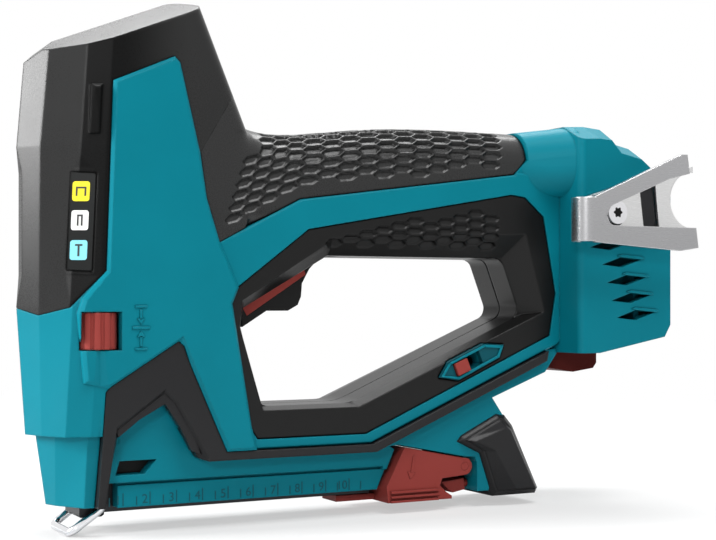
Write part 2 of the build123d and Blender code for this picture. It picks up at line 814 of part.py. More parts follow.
# Teal housing, first in one piece
with BuildPart() as housing_form:
    add(head_outer)
    add(nose_form())
    add(grip_outer)
    add(arm_form.part)
    add(ring_core)
    add(both(mag_outline, mag_half + mag_rise))
    add(both(bracket_outline, bracket_half))
    add(shoulder)
    add(rear_outer)
    add(panel_form.part)
    add(liner_space_form.part, mode=Mode.SUBTRACT)
    add(grip_space_form.part, mode=Mode.SUBTRACT)
    add(cover_zone_wide, mode=Mode.SUBTRACT)
    add(head_inner, mode=Mode.SUBTRACT)
    add(pod_form.part)
    add(trim_space_form.part, mode=Mode.SUBTRACT)
    add(slab(recess_outline, -beyond, -trim_in), mode=Mode.SUBTRACT)
    add(slab(recess_outline, trim_in, beyond), mode=Mode.SUBTRACT)
    add(slab(scale_outline, -beyond, -mag_half), mode=Mode.SUBTRACT)
    add(slab(scale_outline, mag_half, beyond), mode=Mode.SUBTRACT)
    add(grip_inner, mode=Mode.SUBTRACT)
    add(both(hollow_outline, hollow_half), mode=Mode.SUBTRACT)
    add(rear_space_form.part, mode=Mode.SUBTRACT)
    add(block(grip_end_x, rear_front_x + 2 * rear_wall, -grip_half + skin + wall, grip_half - skin - wall,
              grip_floor_z + skin + wall + grip_round, grip_stations[-1][1] - grip_round),
              mode=Mode.SUBTRACT)
    add(both(bay_outline, bay_half), mode=Mode.SUBTRACT)
    # nose, magazine and dock openings
    add(block(flange_wide_x, 8.0, -flange_half + ledge, flange_half - ledge, -beyond, flange_low_z),
        mode=Mode.SUBTRACT)
    for side in (-1, 1):
        y_low, y_high = sorted((side * (bail_half - wire_r - slide_gap),
                                side * (bail_half + wire_r + slide_gap)))
        add(block(flange_wide_x - 1.3 * wire_r, flange_wide_x + 1, y_low, y_high, -beyond, nose_z + wire_r),
            mode=Mode.SUBTRACT)
    add(block(flange_wide_x - seam, 8.0, -flange_half - seam, flange_half + seam, flange_low_z,
              floor_z + 1),
        mode=Mode.SUBTRACT)
    add(block(flange_front_x - seam, 8.0, -flange_neck - seam, flange_neck + seam, flange_low_z,
              floor_z + 1),
        mode=Mode.SUBTRACT)
    add(block(channel_x - 1, beyond, -channel_out - seam, channel_out + seam, -beyond,
              channel_roof_z + channel_wall + seam), mode=Mode.SUBTRACT)
    add(block(dock_x, beyond, -dock_half, dock_half, -beyond, dock_top_z), mode=Mode.SUBTRACT)
    for cut in vents():
        add(cut, mode=Mode.SUBTRACT)
    # grooves and view windows along the magazine
    for side in (-1, 1):
        y_low, y_high = sorted((side * (mag_half - groove), side * beyond))
        add(block(2.0, mag_end_x + 2, y_low, y_high, groove_z, groove_z + groove), mode=Mode.SUBTRACT)
        y_low, y_high = sorted((side * (channel_out + wall), side * beyond))
        add(slab([(6.7, 15.0), (17.4, 15.0), (21.9, 20.0), (8.2, 20.0)], y_low, y_high), mode=Mode.SUBTRACT)
    # switch pocket, wheel window and the facets that lead to it
    add(block(switch_x - seam, switch_x + switch_size[0] + seam, -switch_half - seam, switch_half + seam,
              switch_low_z, switch_low_z + switch_size[1] + wall), mode=Mode.SUBTRACT)
    add(block(wheel_x - window_half, wheel_x + window_half, -beyond, 4 - inner_half,
              wheel_z - window_half + slide_gap, wheel_z + window_half - slide_gap), mode=Mode.SUBTRACT)
    add(wheel_groove(wheel_z + window_half - slide_gap, groove_high), mode=Mode.SUBTRACT)
    add(wheel_groove(wheel_z - window_half + slide_gap, groove_low), mode=Mode.SUBTRACT)
    add(block(stop_front_x - slide_gap, stop_back_x + slide_gap, stop_out_y - slide_gap, -plate_in,
              stop_low_z - 2, stop_low_z + stop_height + 2), mode=Mode.SUBTRACT)
    # ribs that carry the depth spindle
    add(block(wheel_x - 4, wheel_x + 4, -inner_half - 0.1, -pod_half - 0.8, spindle_low_z,
              spindle_low_z + rib))
    add(block(wheel_x - 4, wheel_x + 4, -inner_half - 0.1, -pod_half - 0.8, spindle_high_z - rib,
              spindle_high_z))
    add(bar_z(wheel_x, wheel_y, spindle_r + run_gap, spindle_low_z, spindle_high_z), mode=Mode.SUBTRACT)
    # bosses of the screws and of the hook inserts
    for x, z, half in screw_places:
        add(bar_y(x, z, boss_r, -half + wall, half - wall))
    for side in (-1, 1):
        y_low, y_high = sorted((side * (rear_half - 1), side * (rear_half - insert_length - wall)))
        add(bar_y(hook_screw_at[0], hook_screw_at[1], insert_r + wall, y_low, y_high))
        y_low, y_high = sorted((side * (rear_half - insert_length), side * beyond))
        add(bar_y(hook_screw_at[0], hook_screw_at[1], insert_r, y_low, y_high), mode=Mode.SUBTRACT)
    for x, z, half in screw_places:
        add(bar_y(x, z, screw_r, -half + 2 * wall, beyond), mode=Mode.SUBTRACT)
        add(bar_y(x, z, screw_head_r + seam, half - screw_head - seam, beyond), mode=Mode.SUBTRACT)
    # lug of the magazine lever, pin holes, latch bores, and the lock slot
    add(bar_y(lever_pivot[0], lever_pivot[1], lever_eye_r, -lug_half, lug_half))
    add(block(lever_pivot[0] - lever_eye_r, lever_pivot[0] + lever_eye_r, -lug_half, lug_half,
              lever_pivot[1], lever_pivot[1] + 8))
    add(bar_y(lever_pivot[0], lever_pivot[1], lever_pin_r, -lug_half, lug_half), mode=Mode.SUBTRACT)
    add(bar_y(trigger_pivot[0], trigger_pivot[1], trigger_pin_r, -hollow_half, hollow_half),
        mode=Mode.SUBTRACT)
    for side in (-1, 1):
        with BuildSketch(Plane.YZ.offset(leg_front_x)):
            with Locations((side * latch_stem_half, latch_stem_z)):
                Circle(latch_stem_r + run_gap)
        extrude(amount=latch_bore_end_x - leg_front_x, mode=Mode.SUBTRACT)
    add(lock_pocket, mode=Mode.SUBTRACT)
    add(lock_slot, mode=Mode.SUBTRACT)
housing = housing_form.part


def half_of(shape, side):
    """One side of a symmetric form, short of the middle by half a seam."""
    y_low, y_high = sorted((side * seam / 2, side * beyond))
    with BuildPart() as piece:
        add(shape)
        add(block(-beyond, beyond, y_low, y_high, -beyond, beyond), mode=Mode.INTERSECT)
    return piece.part


parts = {}


def keep(name, shape):
    """Note a finished piece under its node name."""
    shape.label = name
    parts[name] = shape


keep("left_housing", half_of(housing, -1))
keep("right_housing", half_of(housing, 1))

# Label plate on a facet that takes off the edge of the head's left cheek
label_across = Vector(cos(radians(label_lean)), -sin(radians(label_lean)), 0)
label_out = label_across.cross(Vector(*label_rise)).normalized()
label_up = Vector(*label_rise).normalized()
label_plane = Plane(origin=label_at, x_dir=label_up.cross(label_out), z_dir=label_out)


def label_form(grow, low, high):
    """The label plate's outline between two depths."""
    with BuildPart() as body:
        with BuildSketch(label_plane.offset(low)):
            RectangleRounded(label_width + 2 * grow, label_height + 2 * grow, 0.8)
        extrude(amount=high - low)
    return body.part


def label_facet():
    """What the facet takes off: flat along the label, with a pointed run-out at each end."""
    reach = 4 * facet_depth
    fade = facet_half + facet_fade * reach / facet_depth
    with BuildPart() as body:
        with BuildSketch(Plane(origin=label_at, x_dir=label_out, z_dir=label_plane.x_dir * -1)):
            with BuildLine():
                Polyline((0, -facet_half), (0, facet_half), (reach, fade), (reach, -fade), close=True)
            make_face()
        extrude(amount=2 * label_width, both=True)
    return body.part


notch_outline = [
    (front_x, cover_z), (ridge_x, cover_z), (ridge_x + notch, cover_z + 11), (ridge_x + notch, brow_z - 9),
    (ridge_x, brow_z), (front_x, brow_z),
]
with BuildPart() as bars_form:
    add(both(bar_outline, bar_half))
    chamfer(bars_form.edges().filter_by(lambda e: abs(abs(e.center().Y) - bar_half) < 0.01), bar_bevel)
with BuildPart() as cover_form:
    add(head_outer)
    add(bars_form.part)
    add(head_inner, mode=Mode.SUBTRACT)
    add(cover_zone, mode=Mode.INTERSECT)
    add(both(notch_outline, beyond), mode=Mode.SUBTRACT)
    add(label_facet(), mode=Mode.SUBTRACT)
    add(label_form(label_rim, -label_thick, 2 * facet_depth), mode=Mode.SUBTRACT)
keep("head_cover", cover_form.part)
keep("label_plate", label_form(0, -label_thick, -label_thick / 3))

# Soft grip, finger opening liner and trim
with BuildPart() as grip_skin_form:
    add(head_outer)
    add(grip_outer)
    add(grip_zone, mode=Mode.INTERSECT)
    add(head_core, mode=Mode.SUBTRACT)
    add(grip_core, mode=Mode.SUBTRACT)
keep("left_grip", half_of(grip_skin_form.part, -1))
keep("right_grip", half_of(grip_skin_form.part, 1))

with BuildPart() as liner_form:
    add(ring)
    add(both(bay_outline, bay_half), mode=Mode.SUBTRACT)
    add(lock_pocket, mode=Mode.SUBTRACT)
    add(lock_slot, mode=Mode.SUBTRACT)
keep("left_liner", half_of(liner_form.part, -1))
keep("right_liner", half_of(liner_form.part, 1))

head_backing = head_form(trim_depth)
with BuildPart() as trim_form:
    add(slab(trim_outline, -trim_out, -trim_in))
    add(slab(trim_outline, trim_in, trim_out))
    add(head_backing, mode=Mode.SUBTRACT)
    for side in (-1, 1):
        loft([loop_view(recess_outline, side * (trim_out - trim_bevel), 0),
              loop_view(recess_wide_outline, side * (trim_out + seam), 0)], ruled=True, mode=Mode.SUBTRACT)
keep("left_trim", half_of(trim_form.part, -1))
keep("right_trim", half_of(trim_form.part, 1))

# Screws that close the housing, heads on the right
with BuildPart() as screws_form:
    for x, z, half in screw_places:
        with BuildPart(mode=Mode.PRIVATE) as one:
            add(bar_y(x, z, screw_r, -half + 3 * wall, half - screw_head))
            add(bar_y(x, z, screw_head_r, half - screw_head, half))
            add(bar_y(x, z, screw_r * 0.8, half - screw_head / 2, half + 1), mode=Mode.SUBTRACT)
        add(one.part)
keep("housing_screws", screws_form.part)

# Nose block with its driver channel and the flange that rests in the housing
with BuildPart() as nose_block:
    add(block(-nose_run, nose_run, -nose_half, nose_half, 0, flange_low_z))
    add(block(flange_front_x, 7.8, -flange_neck, flange_neck, flange_low_z, flange_top_z))
    add(block(flange_wide_x, 7.8, -flange_half, flange_half, flange_low_z, flange_top_z))
    add(block(-blade_thick / 2 - channel_gap, blade_thick / 2 + channel_gap, -blade_half - channel_gap,
              blade_half + channel_gap, -1, flange_top_z + 1), mode=Mode.SUBTRACT)
    add(block(0, nose_run + 1, -channel_in, channel_in, channel_low_z, channel_roof_z), mode=Mode.SUBTRACT)
    for side in (-1, 1):
        add(bar_z(bail_leg_x, side * bail_half, wire_r + run_gap, flange_low_z - 1, flange_top_z + 1),
            mode=Mode.SUBTRACT)
        add(bar_z(rod_x, side * rod_half, rod_r, flange_low_z, flange_top_z + 1), mode=Mode.SUBTRACT)
    chamfer(nose_block.faces().sort_by(Axis.Z)[0].outer_wire().edges(), 0.8)
keep("nose_block", nose_block.part)

# Contact bail: a wire loop under the nose on two legs
bail_path = [
    (bail_leg_x, -bail_half, bail_top_z), (bail_leg_x, -bail_half, bail_knee_z),
    (bail_front_x, -bail_half, -bail_drop), (bail_front_x, bail_half, -bail_drop),
    (bail_leg_x, bail_half, bail_knee_z), (bail_leg_x, bail_half, bail_top_z),
]
with BuildPart() as contact_bail:
    with BuildLine() as bail_line:
        FilletPolyline(*bail_path, radius=bail_bend)
    with BuildSketch(Plane(origin=bail_line.line @ 0, z_dir=bail_line.line % 0)):
        Circle(wire_r)
    sweep(path=bail_line.line)
    for side in (-1, 1):
        add(bar_z(bail_leg_x, side * bail_half, collar_r, collar_z, collar_z + collar))
keep("contact_bail", contact_bail.part)

with BuildPart() as bail_springs:
    for side in (-1, 1):
        add(coil((bail_leg_x, side * bail_half, collar_z + collar), (0, 0, 1),
                 flange_low_z - collar_z - collar,
                 bail_coil_r, bail_coil_wire, 7))
keep("bail_springs", bail_springs.part)

# Depth wheel, its spindle and the stop it moves along the bail's leg
with BuildPart() as depth_wheel:
    with BuildSketch(Plane.XY.offset(wheel_z - wheel_height / 2)):
        with Locations((wheel_x, wheel_y)):
            Circle(wheel_r)
            Circle(spindle_r, mode=Mode.SUBTRACT)
            with PolarLocations(wheel_r + 0.1, wheel_ridges):
                Circle(wheel_notch_r, mode=Mode.SUBTRACT)
    extrude(amount=wheel_height)
keep("depth_wheel", depth_wheel.part)
keep("depth_spindle", bar_z(wheel_x, wheel_y, spindle_r, spindle_low_z, spindle_high_z))
with BuildPart() as depth_stop:
    add(block(stop_front_x, stop_back_x, stop_out_y, -plate_in + slide_gap, stop_low_z,
              stop_low_z + stop_height))
    add(bar_z(wheel_x, wheel_y, spindle_r + run_gap, stop_low_z - 1, stop_low_z + stop_height + 1),
        mode=Mode.SUBTRACT)
keep("depth_stop", depth_stop.part)

# Plunger with its rack, the driver blade, guide rods, stop pad, spring and seat
rack_pitch = lifter_pitch_r * radians(pin_step)
rack_x = lifter_x - lifter_pitch_r
with BuildPart() as plunger:
    add(block(plunger_front_x, plunger_back_x, -plunger_half, plunger_half, plunger_low_z, plunger_high_z))
    for k in range(lifter_pins):
        low = lifter_z + pin_r + pin_gap - k * rack_pitch
        add(slab([(plunger_back_x - 1, low), (rack_x + rack_tip, low),
                  (rack_x + rack_tip, low + rack_tooth / 2),
                  (rack_x, low + rack_tooth), (plunger_back_x - 1, low + rack_tooth)], -rack_half,
                  rack_half))
    for side in (-1, 1):
        add(bar_z(rod_x, side * rod_half, rod_r + run_gap, 0, beyond), mode=Mode.SUBTRACT)
    add(block(-blade_thick / 2, blade_thick / 2, -blade_half, blade_half, 0, plunger_low_z + 13),
        mode=Mode.SUBTRACT)
keep("plunger", plunger.part)
keep("driver_blade", block(-blade_thick / 2, blade_thick / 2, -blade_half, blade_half, 0.4,
                           plunger_low_z + 13))
with BuildPart() as guide_rods:
    for side in (-1, 1):
        add(bar_z(rod_x, side * rod_half, rod_r, flange_low_z, seat_z + seat_height))
keep("guide_rods", guide_rods.part)
with BuildPart() as stop_pad:
    add(block(plunger_front_x, plunger_back_x, -plunger_half, plunger_half, flange_top_z,
              plunger_low_z - pad_gap))
    add(block(-blade_thick / 2 - slide_gap, blade_thick / 2 + slide_gap, -blade_half - slide_gap,
              blade_half + slide_gap, flange_top_z - 1, plunger_low_z), mode=Mode.SUBTRACT)
    for side in (-1, 1):
        add(bar_z(rod_x, side * rod_half, rod_r, 0, beyond), mode=Mode.SUBTRACT)
keep("stop_pad", stop_pad.part)
with BuildPart() as spring_seat:
    add(block(plunger_front_x - 1, rack_x + rack_tip, -plate_in, plate_in, seat_z, seat_z + seat_height))
    for side in (-1, 1):
        add(bar_z(rod_x, side * rod_half, rod_r, 0, beyond), mode=Mode.SUBTRACT)
keep("spring_seat", spring_seat.part)
keep("drive_spring", coil((0, 0, plunger_high_z), (0, 0, 1), seat_z - plunger_high_z, coil_r, coil_wire,
                          coil_turns))

# Lifter: two discs joined by pins that push the rack up, on one shaft with the last gear
with BuildPart() as lifter:
    for side in (-1, 1):
        y_low, y_high = sorted((side * disc_in, side * disc_out))
        add(bar_y(lifter_x, lifter_z, lifter_disc_r, y_low, y_high))
    add(bar_y(lifter_x, lifter_z, shaft_r + 1.5, -disc_out, disc_out))
    for k in range(lifter_pins):
        turn = radians(180 + k * pin_step)
        add(bar_y(lifter_x + lifter_pitch_r * cos(turn), lifter_z + lifter_pitch_r * sin(turn), pin_r,
                  -disc_out, disc_out))
    add(bar_y(lifter_x, lifter_z, shaft_r, -disc_out, disc_out), mode=Mode.SUBTRACT)
keep("lifter", lifter.part)
keep("lifter_shaft", bar_y(lifter_x, lifter_z, shaft_r, -plate_in - plate - 0.5,
                           gear_inner_y + gear_width + 0.2))
keep("lifter_gear", spur(lifter_teeth, lifter_x, lifter_z, idler_angle, gear_inner_y,
                         gear_inner_y + gear_width,
                         shaft_r))

# Idler: a pinion and a larger gear in one piece, on a pin in the right drive plate
pinion_tooth = idler_angle + 180 + 180 / pinion_teeth
with BuildPart() as idler:
    add(spur(pinion_teeth, idler_x, idler_z, pinion_tooth, gear_inner_y, gear_outer_y, axle_r + run_gap))
    add(spur(idler_teeth, idler_x, idler_z, motor_angle, gear_outer_y, gear_outer_y + gear_width - 0.4,
             axle_r + run_gap))
keep("idler_gear", idler.part)
keep("idler_pin", bar_y(idler_x, idler_z, axle_r, plate_in, gear_outer_y + gear_width - 0.2))

# Motor
with BuildPart() as motor_can:
    add(bar_y(motor_x, motor_z, motor_r, motor_end_y, motor_far))
    add(bar_y(motor_x, motor_z, motor_r - motor_wall, motor_end_y + motor_wall, motor_far - motor_wall),
        mode=Mode.SUBTRACT)
    add(bar_y(motor_x, motor_z, motor_shaft_r + run_gap, motor_end_y + motor_wall / 2, beyond),
        mode=Mode.SUBTRACT)
keep("motor_can", motor_can.part)
with BuildPart() as stator:
    add(bar_y(motor_x, motor_z, motor_r - motor_wall, motor_end_y + 3 * motor_wall,
              motor_far - 3 * motor_wall))
    add(bar_y(motor_x, motor_z, stator_in_r, motor_end_y, motor_far), mode=Mode.SUBTRACT)
keep("stator", stator.part)
with BuildPart() as rotor:
    add(bar_y(motor_x, motor_z, motor_shaft_r, motor_end_y + motor_wall / 2 + 0.2,
              gear_outer_y + gear_width - 0.2))
    add(bar_y(motor_x, motor_z, rotor_r, motor_end_y + 3 * motor_wall, motor_far - 3 * motor_wall))
keep("rotor", rotor.part)
keep("motor_pinion", spur(pinion_teeth, motor_x, motor_z, motor_angle + 180 + 180 / pinion_teeth,
                          gear_outer_y, gear_outer_y + gear_width - 0.4, motor_shaft_r))

# Drive plates that stand on the floor of the head
seat_top_z = seat_z + seat_height
plate_front_x = plunger_front_x - 1
plate_mid_x = plunger_back_x + 1.6
with BuildPart() as left_plate:
    add(slab([
        (plate_mid_x, floor_z), (34.0, floor_z), (34.0, lifter_z + 16), (10.5, lifter_z + 26),
        (10.5, seat_top_z),
        (plate_front_x + plate_lean, seat_top_z), (plate_front_x, seat_z - 2 * plate_lean),
        (plate_front_x, wheel_z + wheel_height / 2 + 2.5),
        (plate_mid_x, wheel_z + wheel_height / 2 + 2.5), (plate_mid_x, wheel_z - wheel_height / 2 - 2.5),
        (plate_front_x, wheel_z - wheel_height / 2 - 2.5), (plate_front_x, stop_low_z + stop_height + 3.5),
        (plate_mid_x, stop_low_z + stop_height + 3.5),
    ], -plate_in - plate, -plate_in))
    add(bar_y(lifter_x, lifter_z, shaft_r + run_gap, -beyond, beyond), mode=Mode.SUBTRACT)
keep("left_drive_plate", left_plate.part)
with BuildPart() as right_plate:
    add(slab([
        (plate_mid_x, floor_z), (40.0, floor_z), (40.0, 80.0), (46.0, motor_z - 8),
        (46.0, motor_z + motor_r),
        (rack_x + 2, seat_top_z), (plate_front_x + plate_lean, seat_top_z),
        (plate_front_x, seat_z - 2 * plate_lean), (plate_front_x, bail_top_z + bail_travel + 3),
        (plate_mid_x, bail_top_z + bail_travel + 3),
    ], plate_in, plate_in + plate))
    add(bar_y(lifter_x, lifter_z, shaft_r + run_gap, -beyond, beyond), mode=Mode.SUBTRACT)
    add(bar_y(idler_x, idler_z, axle_r, -beyond, beyond), mode=Mode.SUBTRACT)
    add(bar_y(motor_x, motor_z, motor_shaft_r + 1, -beyond, beyond), mode=Mode.SUBTRACT)
keep("right_drive_plate", right_plate.part)

# Magazine: steel channel, core rail, pusher and its spring
with BuildPart() as channel:
    add(block(channel_x, mag_end_x, -channel_out, channel_out, channel_low_z,
              channel_roof_z + channel_wall))
    add(block(channel_x - 1, mag_end_x - end_block, -channel_in, channel_in, -beyond, channel_roof_z),
        mode=Mode.SUBTRACT)
keep("magazine_channel", channel.part)
with BuildPart() as core:
    add(block(channel_x, mag_end_x - end_block, -core_half, core_half, channel_low_z, core_top_z))
    add(block(channel_x + 3, mag_end_x - end_block, -core_bore, core_bore, -beyond, core_top_z - 1.6),
        mode=Mode.SUBTRACT)
    add(block(channel_x + 3, mag_end_x - end_block, -slot_half, slot_half, -beyond, beyond),
        mode=Mode.SUBTRACT)
    add(block(channel_x, mag_end_x - end_block, -core_half, core_half, channel_low_z, core_floor_z))
keep("magazine_core", core.part)
pusher_x = channel_x + 4
with BuildPart() as pusher:
    add(block(pusher_x, pusher_x + pusher_length, -channel_in + 0.2, channel_in - 0.2, channel_low_z + 2,
              channel_roof_z - 0.2))
    add(block(pusher_x - 1, pusher_x + pusher_length + 1, -core_half - 0.2, core_half + 0.2, -beyond,
              core_top_z + 0.2), mode=Mode.SUBTRACT)
    add(block(pusher_x + 3, pusher_x + 6, -slot_half + 0.3, slot_half - 0.3, pusher_axis_z - pusher_coil_r,
              core_top_z + 0.5))
keep("pusher", pusher.part)
keep("pusher_spring", coil((pusher_x + 6, 0, pusher_axis_z), (1, 0, 0),
                           mag_end_x - end_block - pusher_x - 6,
                           pusher_coil_r, pusher_coil_wire, pusher_coil_turns))

# Magazine lever on its pin, the latch behind it and the rear foot
with BuildPart() as lever:
    add(slab(lever_outline + [(lever_pivot[0], lever_pivot[1] - lever_eye_r)] + lever_waist, -lever_half,
             lever_half))
    add(bar_y(lever_pivot[0], lever_pivot[1], lever_eye_r, -lever_half, lever_half))
    add(block(tongue_x, 118.0, -tongue_half, tongue_half, tongue_low_z, tongue_high_z))
    for k in range(lever_ridges):
        z = lever_outline[0][1] + 2 * lever_ridge * k
        for side in (-1, 1):
            y_low, y_high = sorted((side * (lever_half - 1), side * (lever_half + lever_ridge)))
            add(block(lever_outline[0][0] + 1, lever_waist[1][0] - 1, y_low, y_high, z, z + lever_ridge))
    add(block(lever_pivot[0] - 2 * lever_eye_r, beyond, -lug_half - slide_gap, lug_half + slide_gap, 4.5,
              beyond),
        mode=Mode.SUBTRACT)
    add(bar_y(lever_pivot[0], lever_pivot[1], lever_pin_r + run_gap, -beyond, beyond), mode=Mode.SUBTRACT)
keep("magazine_lever", lever.part)
keep("lever_pin", bar_y(lever_pivot[0], lever_pivot[1], lever_pin_r, -lever_half, lever_half))
with BuildPart() as latch:
    add(slab(latch_outline, -latch_half, latch_half))
    for side in (-1, 1):
        with BuildSketch(Plane.YZ.offset(latch_outline[2][0] - 2)):
            with Locations((side * latch_stem_half, latch_stem_z)):
                Circle(latch_stem_r)
        extrude(amount=latch_stem_end_x - latch_outline[2][0] + 2)
keep("magazine_latch", latch.part)
with BuildPart() as latch_springs:
    for side in (-1, 1):
        add(coil((latch_stem_end_x, side * latch_stem_half, latch_stem_z), (1, 0, 0),
                 latch_bore_end_x - latch_stem_end_x, 1.2, 0.3, 3))
keep("latch_springs", latch_springs.part)
with BuildPart() as rear_foot:
    add(both(foot_outline, foot_half))
    chamfer(rear_foot.edges().filter_by(lambda e: abs(abs(e.center().Y) - foot_half) < 0.01), foot_bevel)
    add(both(bracket_outline, bracket_half), mode=Mode.SUBTRACT)
keep("rear_foot", rear_foot.part)

# Trigger with its inlay, pin, spring and switch
trigger_top = [
    (trigger_pivot[0] - 3.4, trigger_pivot[1] + 2.2), (79.0, 94.4), (73.0, 94.4), (72.0, 90.0),
    (69.4, 84.4),
    (62.6, 84.4), (57.0, 77.0),
]
with BuildPart() as trigger:
    add(both(lobe + [(85.5, 88.5), (92.0, 95.0)] + trigger_top, trigger_half))
    add(bar_y(trigger_pivot[0], trigger_pivot[1], trigger_eye_r, -trigger_half, trigger_half))
    add(bar_y(trigger_pivot[0], trigger_pivot[1], trigger_pin_r + run_gap, -beyond, beyond),
        mode=Mode.SUBTRACT)
    inlay_outline = [(57.6, 74.2), strip_low, strip_high, (82.8, 89.6)]
    add(slab(inlay_outline, -beyond, skin - trigger_half - 0.8), mode=Mode.SUBTRACT)
    add(slab(inlay_outline, trigger_half - skin + 0.8, beyond), mode=Mode.SUBTRACT)
keep("trigger", trigger.part)
with BuildPart() as inlay:
    add(slab(inlay_outline, -trigger_half - 0.1, skin - trigger_half - 0.8))
    add(slab(inlay_outline, trigger_half - skin + 0.8, trigger_half + 0.1))
keep("trigger_inlay", inlay.part)
keep("trigger_pin", bar_y(trigger_pivot[0], trigger_pivot[1], trigger_pin_r, -hollow_half, hollow_half))
keep("trigger_spring", coil((trigger_spring_x, 0, 84.4), (0, 0, 1), 98.0 - 84.4, trigger_coil_r, 0.6, 6))
with BuildPart() as switch:
    add(block(switch_x, switch_x + switch_size[0], -switch_half, switch_half, switch_low_z,
              switch_low_z + switch_size[1]))
    add(bar_z(switch_x + 4, 0, 1.5, 96.4, switch_low_z + 1))
keep("trigger_switch", switch.part)

# Lock slider in its frame on the lower arm
with BuildPart() as frame_plate:
    add(slab(lock_frame, -frame_half - trim_rise, skin - liner_half))
    add(lock_slot, mode=Mode.SUBTRACT)
keep("switch_frame", frame_plate.part)
with BuildPart() as lock:
    add(tilted(lock_at, lock_length, lock_height, -frame_half - lock_proud, 2 - hollow_half, arm_slope))
    add(tilted((lock_at[0] + 0.6, lock_at[1] - 2.2), 2 * lock_length, lock_height + 2,
               slide_gap - hollow_half,
               2 - hollow_half, arm_slope))
keep("lock_slider", lock.part)

# Belt hook: a plate screwed to the block, folded round to two prongs
hook_mid_y = hook_base_y - hook_thick - hook_gap / 2
with BuildPart() as hook:
    add(slab(hook_base, hook_base_y - hook_thick, hook_base_y))
    add(slab(hook_plate, hook_out_y, hook_out_y + hook_thick, 0,
             [(hook_plate[5], 3.0), (hook_plate[7], 3.0)]))
    with BuildSketch(Plane.XY.offset(hook_bend_low_z)):
        with Locations((hook_base[0][0], hook_mid_y)):
            Circle(hook_gap / 2 + hook_thick)
            Circle(hook_gap / 2, mode=Mode.SUBTRACT)
        with Locations((hook_base[0][0] + beyond / 2, hook_mid_y)):
            Rectangle(beyond, beyond, mode=Mode.SUBTRACT)
    extrude(amount=hook_bend_high_z - hook_bend_low_z)
    add(slab(hook_window, hook_base_y - hook_thick, hook_base_y), mode=Mode.SUBTRACT)
    add(bar_y(hook_notch_at[0], hook_notch_at[1], hook_notch_r, hook_base_y - hook_thick, hook_base_y),
        mode=Mode.SUBTRACT)
    add(bar_y(hook_screw_at[0], hook_screw_at[1], hook_screw_r, hook_base_y - hook_thick, hook_base_y),
        mode=Mode.SUBTRACT)
keep("belt_hook", hook.part)
with BuildPart() as hook_screw:
    add(bar_y(hook_screw_at[0], hook_screw_at[1], hook_screw_r, hook_base_y - hook_thick,
              insert_length - rear_half - 1))
    add(bar_y(hook_screw_at[0], hook_screw_at[1], hook_screw_head_r,
              hook_base_y - hook_thick - hook_screw_head,
              hook_base_y - hook_thick))
    add(bar_y(hook_screw_at[0], hook_screw_at[1], hook_recess_r, -beyond, hook_base_y - hook_thick - 1),
        mode=Mode.SUBTRACT)
keep("hook_screw", hook_screw.part)
with BuildPart() as inserts:
    for side in (-1, 1):
        y_low, y_high = sorted((side * rear_half, side * (rear_half - insert_length)))
        add(bar_y(hook_screw_at[0], hook_screw_at[1], insert_r, y_low, y_high))
        add(bar_y(hook_screw_at[0], hook_screw_at[1], hook_screw_r, y_low, y_high), mode=Mode.SUBTRACT)
keep("hook_inserts", inserts.part)

# Battery shoe with its rails and contact blades, bumper and control board
with BuildPart() as shoe:
    add(block(dock_x, dock_x + shoe_thick, -dock_half + seam, dock_half - seam, rear_tail_z + 1,
              dock_top_z - seam))
    add(block(dock_x, rail_x + rail_width, -blade_places[-1] - 4, blade_places[-1] + 4, contact_top_z,
              dock_top_z - seam))
    for side in (-1, 1):
        y_low, y_high = sorted((side * (dock_half - seam), side * (dock_half - rail_width)))
        add(block(dock_x, rail_x + rail_width, y_low, y_high, rear_tail_z + 3, contact_top_z))
        y_low, y_high = sorted((side * (dock_half - seam), side * (dock_half - rail_width - rail_depth)))
        add(block(rail_x, rail_x + rail_width, y_low, y_high, rear_tail_z + 3, contact_top_z))
    for y in blade_places:
        add(block(rail_x - 1.5, rail_x + 2, y - contact_thick / 2, y + contact_thick / 2, contact_top_z,
                  contact_top_z + 3), mode=Mode.SUBTRACT)
keep("battery_shoe", shoe.part)
with BuildPart() as blades:
    for y in blade_places:
        add(block(rail_x - 1.5, rail_x + 2, y - contact_thick / 2, y + contact_thick / 2,
                  contact_top_z - contact_length, contact_top_z + 3))
keep("contact_blades", blades.part)
tail_slope = (rear_tail_z - rear_low_z) / (rear_back_x - 3 - rear_slant_x)
bumper_top = [(bumper_outline[-1][0], rear_low_z + (bumper_outline[-1][0] - rear_slant_x) * tail_slope),
              (rear_slant_x, rear_low_z)]
keep("bumper", both(bumper_outline + bumper_top, bumper_half))
keep("control_board", block(board_x, board_x + board_thick, seam - rear_half + rear_wall,
                            rear_half - rear_wall - seam,
                            board_low_z, board_high_z))

for name, shape in parts.items():
    export_step(shape, f"parts/{name}.step")
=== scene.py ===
"""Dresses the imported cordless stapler: finishes, moulded grip cells, printed marks, light and camera."""
from math import atan2, cos, floor, hypot, pi, radians, sin

import bmesh
import bpy
from mathutils import Matrix, Vector
from mathutils.bvhtree import BVHTree


